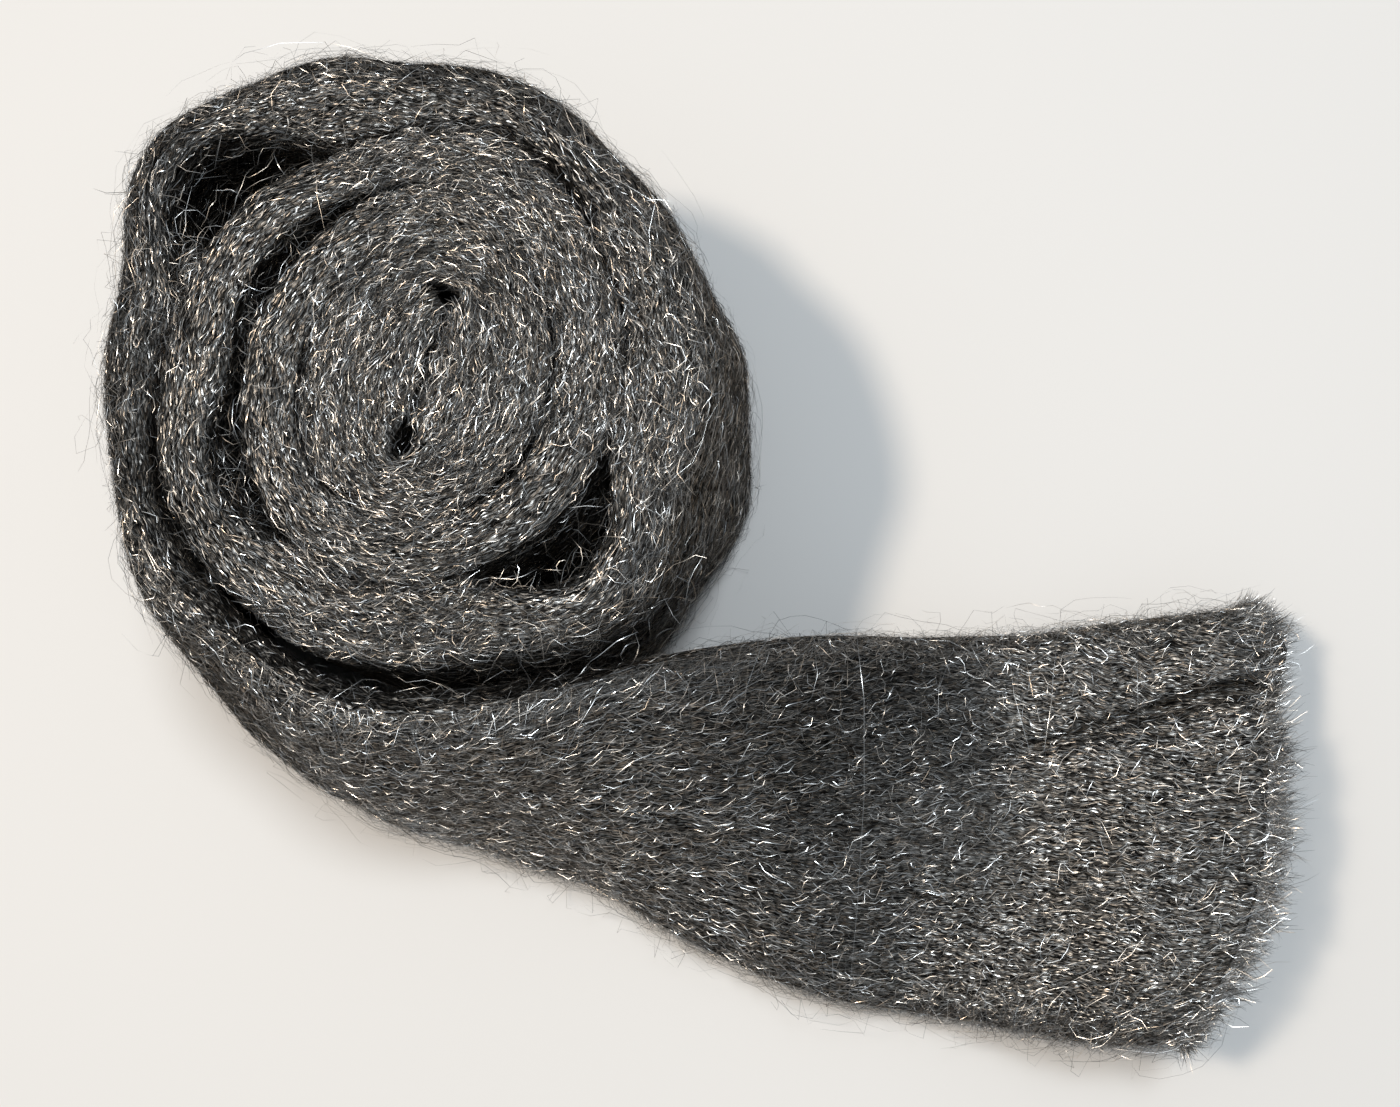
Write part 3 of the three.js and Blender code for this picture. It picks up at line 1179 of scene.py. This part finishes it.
@dataclass(frozen=True)
class FibreKind:
    """Sizes of one kind of fibre, in millimetres and radians.

    Attributes:
        count: How many there are.
        length: Shortest and longest.
        width: Narrowest and widest.
        spread: How far their headings stray from the strip's.
        curl: How far each turns from end to end.
        height: Lowest and highest over the skin.
        arch: How far the middle rises over the ends, least and most.
        dive: How far the ends sink.
        points: Points along each.
        glint_share: Share of them that is bright.
        wander: How far the heading jumps from point to point.
        lift: How far the last end rises, least and most.
        ripple: How far the height jumps from point to point.
        reach: How far into a gap they start, at most.
        roll: How far the band leans to either side.
        finish: What the rest of them is made of.
    """

    count: int
    length: tuple[float, float]
    width: tuple[float, float]
    spread: float = 0.35
    curl: float = 0.5
    height: tuple[float, float] = (-0.3, 0.3)
    arch: tuple[float, float] = (0.1, 0.6)
    dive: float = 0.3
    points: int = 4
    glint_share: float = 0.045
    wander: float = 0.3
    lift: tuple[float, float] = (0.0, 0.0)
    ripple: float = 0.3
    reach: float = 0.0
    roll: float = 1.15
    finish: Finish = Finish.FIBRE


@dataclass
class FibreCoat:
    """Fibres laid on the mat's skin as thin bands, in millimetres and radians."""

    skin: StripSkin
    materials: WoolMaterials
    seed: int = 3
    overrun: float = 4.5
    least_ring_step: float = 0.35
    hole_clearing: float = 0.75
    hole_turns: float = 0.8
    same_face: float = 0.01
    lowest_line: float = 0.08
    lowest_edge: float = 0.02
    twist: float = 1.4
    tip_width: float = 0.35
    cell_length: tuple[float, float] = (0.15, 0.85)
    cell_width: tuple[float, float] = (0.25, 0.75)
    brush_jitter: float = 0.7
    brush_depth: tuple[float, float] = (-0.8, 0.9)
    brush_tuft: float = 1.5
    brush_uneven: float = 0.35
    brush_splay: tuple[float, float] = (-1.0, 3.0)
    brush_flatten: float = 0.4
    brush_waves: tuple[float, float, float, float] = (0.31, 0.83, 0.17, 1.9)
    brush_phases: tuple[float, float] = (0.6, 1.0)

    def __post_init__(self) -> None:
        """Measures the skin that the fibres lie on, which is already shaped."""
        skin = self.skin
        self.random = np.random.default_rng(self.seed)
        self.run = skin.stations.run()
        self.length = self.run[-1]
        self.rows, self.ring = skin.across.shape
        self.ring_step = np.linalg.norm(np.roll(skin.points, -1, axis=1) - skin.points, axis=2)
        forward = np.gradient(skin.points, axis=0).mean(axis=1, keepdims=True)
        self.forward = np.broadcast_to(forward, skin.points.shape)

    def starts(self, count: int, wanted: np.ndarray) -> tuple[np.ndarray, np.ndarray]:
        """Random places on the skin, even over its area times the wanted density.

        Args:
            count: Number of places.
            wanted: Density at each grid point.

        Returns:
            Station place and ring place of each, as fractions of grid steps.
        """
        weight = (wanted * self.ring_step)[:-1].ravel()
        running = np.cumsum(weight)
        picked = np.searchsorted(running, self.random.uniform(0.0, running[-1], count))
        i, j = np.divmod(picked, self.ring)
        return i + self.random.uniform(0.0, 1.0, count), j + self.random.uniform(0.0, 1.0, count)

    def read(self, grid: np.ndarray, i: np.ndarray, j: np.ndarray) -> np.ndarray:
        """Values of a grid between its points.

        Args:
            grid: Values at grid points.
            i: Station places.
            j: Ring places, which close round the ring.

        Returns:
            The grid's values there.
        """
        i = np.clip(i, 0.0, self.rows - 1.001)
        low_i, low_j = np.floor(i).astype(int), np.floor(j).astype(int)
        u, v = i - low_i, j - low_j
        if grid.ndim == 3:
            u, v = u[..., None], v[..., None]
        a, b = low_j % self.ring, (low_j + 1) % self.ring
        near = mix(grid[low_i, a], grid[low_i, b], v)
        far = mix(grid[low_i + 1, a], grid[low_i + 1, b], v)
        return mix(near, far, u)

    def lay(self, name: str, kind: FibreKind, wanted: np.ndarray) -> bpy.types.Object:
        """Lays fibres of one kind over the skin.

        Args:
            name: The piece's name.
            kind: The fibres' sizes.
            wanted: Density at each grid point.

        Returns:
            The piece.
        """
        i, j = self.starts(kind.count, wanted)
        along, across, height = self.path(kind)
        spacing = self.length / (self.rows - 1)
        local = np.maximum(self.read(self.ring_step, i, j), self.least_ring_step)
        rows = i[:, None] + along / spacing
        beyond = np.clip(rows - (self.rows - 1), 0.0, self.overrun / spacing)
        ring = j[:, None] + across / local[:, None]
        base = self.read(self.skin.points, rows, ring)
        base = base + self.read(self.forward, rows, ring) * beyond[..., None]
        normal = unit(self.read(self.skin.normals, rows, ring))
        return self.ribbons(name, kind, base + normal * height[..., None], normal)

    def path(self, kind: FibreKind) -> tuple[np.ndarray, np.ndarray, np.ndarray]:
        """Random paths of fibres that roughly follow the strip.

        Args:
            kind: The fibres' sizes.

        Returns:
            Distance along the strip, distance across it and height over it, at each point.
        """
        random = self.random
        count, steps = kind.count, kind.points
        step = (random.uniform(*kind.length, count) / (steps - 1))[:, None]
        share = np.linspace(-0.5, 0.5, steps)[None, :]
        heading = random.normal(0.0, kind.spread, count)[:, None]
        heading = heading + random.normal(0.0, kind.curl, count)[:, None] * share * 2.0
        heading = heading + random.normal(0.0, kind.wander, (count, steps))
        along = np.cumsum(np.cos(heading) * step, axis=1)
        across = np.cumsum(np.sin(heading) * step, axis=1)
        along -= along.mean(axis=1, keepdims=True)
        across -= across.mean(axis=1, keepdims=True)
        flip = np.where(random.uniform(0.0, 1.0, count) < 0.5, 1.0, -1.0)[:, None]
        arch = 1.0 - (2.0 * share) ** 2
        height = random.uniform(*kind.height, count)[:, None]
        height = height + random.uniform(*kind.arch, count)[:, None] * arch
        rise = random.uniform(*kind.lift, count)[:, None] * (share + 0.5) ** 1.5
        ripple = random.normal(0.0, kind.ripple, (count, steps))
        return along * flip, across * flip, height - kind.dive * (1.0 - arch) + rise + ripple

    def lay_over_seams(self, name: str, kind: FibreKind, wanted: np.ndarray) -> bpy.types.Object:
        """Lays fibres level over the roll's end, across the seams between its turns.

        Args:
            name: The piece's name.
            kind: The fibres' sizes.
            wanted: Density at each grid point.

        Returns:
            The piece.
        """
        i, j = self.starts(kind.count, wanted)
        along, across, height = self.path(kind)
        at = self.skin.stations
        rows = np.arange(self.rows)
        start = self.read(self.skin.points, i, j)
        outward = unit(np.stack([np.interp(i, rows, column) for column in at.outward.T], axis=1))
        bend = np.interp(i, rows, at.turning())[:, None]
        hole = self.hole_middle()
        side = np.sign(self.read(self.skin.through, i, j)) * self.random.uniform(0.0, kind.reach, kind.count)
        across = across + side[:, None] - bend * along**2 / 2.0
        points = np.zeros((kind.count, kind.points, 3))
        points[..., 0] = start[:, :1] - outward[:, 1:] * along + outward[:, :1] * across
        points[..., 1] = start[:, 1:2] + outward[:, :1] * along + outward[:, 1:] * across
        points[..., 2] = (np.interp(i, rows, at.width) + self.skin.top_crown)[:, None] + height
        reach = np.linalg.norm(points[..., :2] - hole, axis=2).min(axis=1)
        points = points[reach > self.skin.strip.hole_half_width * self.hole_clearing]
        normal = np.broadcast_to(np.array([0.0, 0.0, 1.0]), points.shape)
        return self.ribbons(name, kind, points, normal)

    def hole_middle(self) -> np.ndarray:
        """Finds the open hole in the core.

        Returns:
            The hole's middle in plan.
        """
        strip = self.skin.strip
        near = np.abs(self.skin.stations.turn - strip.hole_place) < strip.hole_spread * self.hole_turns
        through = self.skin.through[near]
        inner = through <= through.min(axis=1, keepdims=True) + self.same_face
        return self.skin.points[near][inner][:, :2].mean(axis=0)

    def lay_brush(self, name: str, kind: FibreKind) -> bpy.types.Object:
        """Lays fibre ends that stand out of the cut end of the strip.

        Args:
            name: The piece's name.
            kind: The fibres' sizes.

        Returns:
            The piece.
        """
        random = self.random
        count = kind.count
        outline = self.skin.points[-1]
        spine, line = spine_line(outline)
        picked = random.integers(0, self.ring, count)
        inside = random.uniform(0.0, 1.0, count)[:, None] ** 0.5
        root = mix(line[picked], outline[picked], inside) + random.normal(0.0, self.brush_jitter, (count, 3))
        away = unit(outline - line)[picked]
        forward = unit(self.forward[-1])[picked]
        up = unit(np.cross(forward, spine[None, :]))
        along, across, height = self.path(kind)
        along = np.sort(along, axis=1)
        along = along - along[:, :1] * random.uniform(*self.brush_depth, count)[:, None]
        place = root @ spine
        wide, fine, slow, ragged = self.brush_waves
        tuft = 0.5 * np.sin(place * wide + self.brush_phases[0])
        tuft = tuft + 0.5 * np.sin(place * fine + self.brush_phases[1]) * np.sin(place * slow)
        uneven = 1.0 + self.brush_uneven * np.sin(place * ragged)
        along = along * uneven[:, None] + self.brush_tuft * tuft[:, None]
        sideways = across - across[:, :1]
        splay = random.uniform(*self.brush_splay, count)[:, None]
        spread = np.linspace(0.0, 1.0, kind.points)[None, :] ** 1.5 * splay
        points = root[:, None] + forward[:, None] * along[..., None] + spine * sideways[..., None]
        points = points + away[:, None] * (spread * inside)[..., None]
        points = points + up[:, None] * (height * self.brush_flatten)[..., None]
        return self.ribbons(name, kind, points, np.broadcast_to(up[:, None], points.shape))

    def ribbons(
        self,
        name: str,
        kind: FibreKind,
        points: np.ndarray,
        normal: np.ndarray,
    ) -> bpy.types.Object:
        """Makes bands round the given lines.

        Args:
            name: The piece's name.
            kind: The fibres' sizes.
            points: Line points, fibre by fibre, in millimetres.
            normal: Outward direction at each.

        Returns:
            The piece.
        """
        random = self.random
        count, steps = points.shape[:2]
        width = random.uniform(*kind.width, count)
        points = points.copy()
        points[..., 2] = np.maximum(points[..., 2], self.lowest_line)
        tangent = unit(np.gradient(points, axis=1))
        side = unit(np.cross(normal, tangent))
        rise = np.cross(tangent, side)
        twist = random.uniform(-kind.roll, kind.roll, count)[:, None]
        twisting = random.uniform(-self.twist, self.twist, count)[:, None]
        twist = twist + twisting * np.linspace(-0.5, 0.5, steps)[None, :]
        spread = side * np.cos(twist)[..., None] + rise * np.sin(twist)[..., None]
        taper = np.ones(steps)
        taper[[0, -1]] = self.tip_width
        half = spread * (width[:, None] * taper[None, :] / 2.0)[..., None]
        corners = np.stack([points - half, points + half], axis=2).reshape(-1, 3)
        corners[:, 2] = np.maximum(corners[:, 2], self.lowest_edge)
        first = (np.arange(count) * steps * 2)[:, None] + (np.arange(steps - 1) * 2)[None, :]
        faces = np.stack([first, first + 2, first + 3, first + 1], axis=-1).reshape(-1, 4)
        cells = self.materials.cells
        column, row = np.arange(count) % cells, np.arange(count) // cells
        u = (column[:, None, None] + np.array(self.cell_width)[None, None, :]) / cells
        v = (row[:, None, None] + np.linspace(*self.cell_length, steps)[None, :, None]) / cells
        flat = np.stack(np.broadcast_arrays(u, v), axis=-1).reshape(-1, 2)[faces]
        slots = np.repeat((random.uniform(0.0, 1.0, count) < kind.glint_share).astype(int), steps - 1)
        finishes = [self.materials.fibres[kind.finish], self.materials.fibres[Finish.GLINT]]
        made = make_mesh(name, corners * MM, faces, {BAKE_MAP: flat}, finishes, slots)
        LOG.info("%s: %d fibres, %d triangles", name, count, len(faces) * 2)
        return made


@dataclass
class WoolCoat:
    """All the fibres on the mat, by where they lie: millimetres, turns and shares."""

    coat: FibreCoat
    lying: FibreKind = FibreKind(count=33000, length=(3.0, 8.0), width=(0.08, 0.17))
    level: FibreKind = FibreKind(
        count=16500, length=(3.0, 9.0), width=(0.08, 0.16), height=(-0.8, 0.0), arch=(0.1, 0.5)
    )
    # The loose end takes the brighter lit-tail finish and over three times the usual share of bright fibres:
    # painted light on the tail.
    loose: FibreKind = FibreKind(
        count=33000, length=(2.6, 9.0), width=(0.07, 0.16), spread=0.46, curl=0.6,
        glint_share=0.15, ripple=0.5, roll=1.4, finish=Finish.OPEN,
    )
    # Fewer bright fibres than on the top, so the roll's sides read darker: painted shade of the walls.
    wall: FibreKind = FibreKind(count=29000, length=(3.0, 8.0), width=(0.08, 0.17), glint_share=0.02)
    fuzz: FibreKind = FibreKind(
        count=11500, length=(4.0, 10.0), width=(0.05, 0.09), spread=0.55, curl=0.9,
        height=(-0.3, 0.2), arch=(0.0, 0.6), dive=0.2, lift=(0.6, 3.8), glint_share=0.04,
    )
    stray: FibreKind = FibreKind(
        count=2400, length=(12.0, 34.0), width=(0.05, 0.1), spread=0.5, curl=1.6, height=(0.0, 0.8),
        arch=(0.3, 2.6), dive=0.6, points=7, lift=(0.0, 3.0), wander=0.16,
    )
    wisp: FibreKind = FibreKind(
        count=520, length=(18.0, 46.0), width=(0.05, 0.08), spread=0.4, curl=2.2, height=(0.0, 0.8),
        arch=(0.5, 4.0), dive=0.6, points=9, lift=(2.0, 10.0), wander=0.1,
    )
    strand: FibreKind = FibreKind(
        count=700, length=(9.0, 30.0), width=(0.06, 0.13), spread=0.8, curl=1.2, height=(-26.0, -0.5),
        arch=(0.0, 4.0), dive=1.0, points=7, glint_share=0.02, wander=0.16,
    )
    web: FibreKind = FibreKind(
        count=2000, length=(5.0, 16.0), width=(0.07, 0.13), spread=0.65, curl=1.1, height=(-24.0, -3.5),
        arch=(0.0, 2.0), dive=1.0, points=6, glint_share=0.05, wander=0.14, reach=11.0,
    )
    rim: FibreKind = FibreKind(
        count=1500, length=(4.0, 11.0), width=(0.08, 0.15), spread=0.45, curl=0.8, height=(-14.0, -2.0),
        arch=(0.0, 1.0), dive=0.6, glint_share=0.03, reach=8.0,
    )
    brush: FibreKind = FibreKind(
        count=8500, length=(2.5, 8.0), width=(0.07, 0.14), spread=0.4, curl=0.6, height=(-1.5, 1.5),
        arch=(0.0, 0.6), dive=0.2,
    )
    tail_turns: tuple[float, float] = (4.44, 4.52)
    underside_from: float = 4.3
    underside_share: float = 0.25
    crease_clearing: float = 4.4
    top_depth: tuple[float, float] = (4.0, 10.0)
    edge_depth: tuple[float, float] = (1.0, 3.0)
    seam_fade: tuple[float, float] = (0.05, 0.3)
    last_seam: float = 3.9
    fold_size: tuple[float, float] = (7.5, 2.2)
    fold_fade: tuple[float, float] = (0.6, 1.0)
    cut_crowding: float = 0.8
    cut_reach: tuple[float, float] = (8.0, 2.0)
    edge_crowding: tuple[float, float] = (7.0, 4.0)
    edge_reach: tuple[float, float] = (2.0, 9.0)
    wound_fuzz_share: float = 0.4
    wound_stray_share: float = 0.35
    gap_fade: tuple[float, float] = (0.1, 0.6)
    face_fade: tuple[float, float] = (0.3, 0.4)
    tuck_spread: float = 0.14
    tuck_thinning: float = 0.8
    narrow_place: float = 4.11
    narrow_spread: float = 0.06
    narrow_thinning: float = 0.9
    rim_place: float = 4.24
    rim_spread: float = 0.07
    leaving_share: float = 0.5
    leaving_from: tuple[float, float] = (4.24, 4.3)
    leaving_to: tuple[float, float] = (4.4, 4.48)

    def __post_init__(self) -> None:
        """Notes how far below the upper edge, and in which turn, each grid point lies."""
        skin = self.coat.skin
        self.depth = skin.stations.width[:, None] / 2.0 - skin.across
        self.turn = np.broadcast_to(skin.stations.turn[:, None], self.depth.shape)

    def build(self) -> None:
        """Lays every kind of fibre where it belongs."""
        skin, lay, level = self.coat.skin, self.coat.lay, self.coat.lay_over_seams
        seen, fold = self.seen(), self.fold()
        loose = smooth(self.turn, *self.tail_turns)
        top = 1.0 - smooth(self.depth, *self.top_depth)
        lay("roll_top_fibres", self.lying, seen * (1.0 - loose) * top * fold)
        level("seam_fibres", self.level, self.seams() * fold)
        lay("loose_end_fibres", self.loose, seen * loose * self.cut())
        lay("wall_fibres", self.wall, seen * (1.0 - loose) * (1.0 - top))
        standing = skin.standing_turn
        outer = smooth(self.turn, standing, standing + skin.standing_ramp) * (skin.through > 0.0)
        free = np.maximum(outer, loose)
        edge = self.edge(free, loose)
        lay("fuzz", self.fuzz, seen * mix(self.wound_fuzz_share, 1.0, free) * edge)
        lay("stray_fibres", self.stray, seen * mix(self.wound_stray_share, 1.0, free) * edge)
        lay("wisps", self.wisp, seen * free * (edge - 1.0))
        at_edge = 1.0 - smooth(self.depth, *self.edge_depth)
        gap = smooth(self.gaps(), *self.gap_fade) * at_edge
        face = smooth(np.abs(skin.through) / skin.stations.thickness[:, None], *self.face_fade)
        level("gap_strands", self.strand, gap)
        thinned = 1.0 - self.tuck_thinning * self.twice(skin.strip.tuck_place, self.tuck_spread)
        opened = 1.0 - self.narrow_thinning * self.twice(self.narrow_place, self.narrow_spread)
        level("gap_web", self.web, gap * face * thinned * opened)
        level("gap_rim", self.rim, face * (skin.through < 0.0) * at_edge * self.rims())
        self.coat.lay_brush("cut_end_fibres", self.brush)

    def twice(self, place: float, spread: float) -> np.ndarray:
        """Hump at a turn and at the turn inside it, which face each other."""
        return hump(self.turn, place, spread) + hump(self.turn, place - 1.0, spread)

    def gaps(self) -> np.ndarray:
        """How near each grid point is to a gap between two turns."""
        return sum(self.twice(place.at, place.spread) for place in self.coat.skin.strip.wide_places())

    def seen(self) -> np.ndarray:
        """How densely the lying fibres cover the skin.

        Returns:
            Exposure, with less on the loose end's underside and none in its crease, where the bare
            near-black mat adds painted shade to the groove's own shadow.
        """
        skin = self.coat.skin
        strip, at = skin.strip, skin.stations
        under = (skin.through < 0.0) & (self.turn > self.underside_from)
        crease = (at.crease_place * at.width)[:, None]
        creased = (at.crease / strip.crease_depth)[:, None] * (skin.through > 0.0)
        # No fibres in the crease, so the near-black mat shows there: painted shade deepening the real
        # groove.
        cleared = 1.0 - creased * hump(skin.across, crease, self.crease_clearing)
        return skin.exposure() * np.where(under, self.underside_share, 1.0) * cleared

    def seams(self) -> np.ndarray:
        """Closed seams between the inner turns, which fibres bridge."""
        closed = 1.0 - smooth(self.gaps(), *self.seam_fade)
        return closed * (1.0 - smooth(self.depth, *self.edge_depth)) * (self.turn < self.last_seam)

    def fold(self) -> np.ndarray:
        """Share of fibres that stay round the fold at the slit's upper end.

        Returns:
            0 in a flat spot at the fold, and 1 away from it.
        """
        skin = self.coat.skin
        away = np.abs(skin.points[..., :2] - (skin.strip.slit_end() + skin.shift)) / np.array(self.fold_size)
        return smooth(away.max(axis=2), *self.fold_fade)

    def cut(self) -> np.ndarray:
        """Crowding of the fibres at the cut end."""
        first, last = (self.coat.length - reach for reach in self.cut_reach)
        return 1.0 + self.cut_crowding * smooth(self.coat.run[:, None], first, last)

    def edge(self, free: np.ndarray, loose: np.ndarray) -> np.ndarray:
        """Crowding of fuzz and strays along the strip's long edges.

        Args:
            free: Share of each grid point that belongs to an open face.
            loose: Share of it that belongs to the loose end.

        Returns:
            1 away from the edges, and more beside them.
        """
        width = self.coat.skin.stations.width[:, None]
        near = 1.0 - smooth(np.minimum(self.depth, width - self.depth), *self.edge_reach)
        return 1.0 + (self.edge_crowding[0] * free + self.edge_crowding[1] * loose) * near

    def rims(self) -> np.ndarray:
        """Where fibres hang from the last turn's inner edge: by the wide gap, and as it leaves the roll."""
        leaving = smooth(self.turn, *self.leaving_from) * (1.0 - smooth(self.turn, *self.leaving_to))
        return hump(self.turn, self.rim_place, self.rim_spread) + self.leaving_share * leaving


@dataclass(frozen=True)
class Studio:
    """Floor, camera and light, in metres and degrees."""

    floor_size: float = 6.0
    floor_colour: Colour = (0.74, 0.705, 0.668)
    floor_roughness: float = 0.7
    world_colour: Colour = (0.78, 0.89, 1.0)
    horizon_strength: float = 0.1
    zenith_strength: float = 0.54
    seen_strength: float = 1.0
    key_colour: Colour = (1.0, 0.89, 0.76)
    key_power: float = 14.3
    key_size: float = 0.2
    key_place: tuple[float, float, float] = (-0.62, 0.12, 1.5)
    fill_colour: Colour = (0.83, 0.92, 1.0)
    fill_power: float = 9.8
    fill_size: float = 0.3
    fill_place: tuple[float, float, float] = (0.3, 0.28, 1.42)
    aim: tuple[float, float, float] = (0.0, 0.0, 0.03)
    camera_place: tuple[float, float, float] = (0.0512, -0.0697, 0.45)
    camera_right: tuple[float, float, float] = (0.99227, 0.0, -0.1241)
    camera_up: tuple[float, float, float] = (0.02146, 0.98494, 0.17158)
    lens: float = 40.5
    sensor_width: float = 36.0
    clip_start: float = 0.01

    def build(self) -> None:
        """Sets up the floor, the world, both lamps and the camera."""
        self._floor()
        self._world()
        self._lamp("key", self.key_place, self.key_size, self.key_power, self.key_colour)
        self._lamp("fill", self.fill_place, self.fill_size, self.fill_power, self.fill_colour)
        self._camera()

    def _floor(self) -> None:
        """Lays the plain pale table top under the roll."""
        half = self.floor_size / 2.0
        mesh = bpy.data.meshes.new("table_top")
        corners = [(-half, -half, 0.0), (half, -half, 0.0), (half, half, 0.0), (-half, half, 0.0)]
        mesh.from_pydata(corners, [], [(0, 1, 2, 3)])
        floor = bpy.data.objects.new("table_top", mesh)
        bpy.context.scene.collection.objects.link(floor)
        material = bpy.data.materials.new("pale_card")
        material.use_nodes = True
        finish = {"Base Color": (*self.floor_colour, 1.0), "Roughness": self.floor_roughness}
        Wiring(material.node_tree).join(material.node_tree.nodes["Principled BSDF"], finish)
        mesh.materials.append(material)

    def _world(self) -> None:
        """Sets up a sky that brightens with height, and that the camera sees as plain and pale."""
        world = bpy.data.worlds.new("studio")
        world.use_nodes = True
        wiring = Wiring(world.node_tree)
        place = wiring.add("SeparateXYZ", {0: wiring.add("TexCoord").outputs["Generated"]})
        sky = {"Value": place.outputs["Z"], "To Min": self.horizon_strength, "To Max": self.zenith_strength}
        height = wiring.add("MapRange", sky).outputs["Result"]
        seen = wiring.add("LightPath").outputs["Is Camera Ray"]
        strength = wiring.add("Mix", {"Factor": seen, "A": height, "B": self.seen_strength})
        light = {"Color": (*self.world_colour, 1.0), "Strength": strength.outputs["Result"]}
        wiring.join(world.node_tree.nodes["Background"], light)
        bpy.context.scene.world = world

    def _lamp(
        self,
        name: str,
        place: tuple[float, float, float],
        size: float,
        power: float,
        colour: Colour,
    ) -> None:
        """Hangs a round lamp that points at the roll.

        Args:
            name: The lamp's name.
            place: Where it hangs.
            size: How far it is across.
            power: Its power in watts.
            colour: Its colour.
        """
        light = bpy.data.lights.new(name, "AREA")
        light.shape = "DISK"
        light.size = size
        light.energy = power
        light.color = colour
        lamp = bpy.data.objects.new(name, light)
        lamp.location = place
        direction = Vector(self.aim) - Vector(place)
        lamp.rotation_euler = direction.to_track_quat("-Z", "Y").to_euler()
        bpy.context.scene.collection.objects.link(lamp)

    def _camera(self) -> None:
        """Hangs the camera over the roll, turned as in the photograph."""
        camera = bpy.data.cameras.new("camera")
        camera.lens = self.lens
        camera.sensor_width = self.sensor_width
        camera.clip_start = self.clip_start
        holder = bpy.data.objects.new("camera", camera)
        right, up = Vector(self.camera_right).normalized(), Vector(self.camera_up).normalized()
        back = right.cross(up)
        turn = Matrix((right, up, back)).transposed().to_4x4()
        holder.matrix_world = Matrix.Translation(self.camera_place) @ turn
        bpy.context.scene.collection.objects.link(holder)
        bpy.context.scene.camera = holder


def main() -> None:
    """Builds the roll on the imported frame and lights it."""
    logging.basicConfig(level=logging.INFO, format="%(message)s", stream=sys.stdout)
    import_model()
    bpy.context.scene.view_settings.view_transform = "Standard"
    box = np.array(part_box(NODE)) / MM
    skin = StripSkin(WoundStrip())
    skin.settle((box[0] + box[1]) / 2.0)
    low, high = skin.points.reshape(-1, 3).min(axis=0), skin.points.reshape(-1, 3).max(axis=0)
    LOG.info("skin against part: low %s, high %s", np.round(low - box[0], 2), np.round(high - box[1], 2))
    mat = WoolMat(skin)
    mat.shape()
    materials = WoolMaterials(BAKE_CELLS)
    mat.build(materials.mat)
    WoolCoat(FibreCoat(skin, materials)).build()
    Studio().build()


if __name__ == "__main__":
    main()
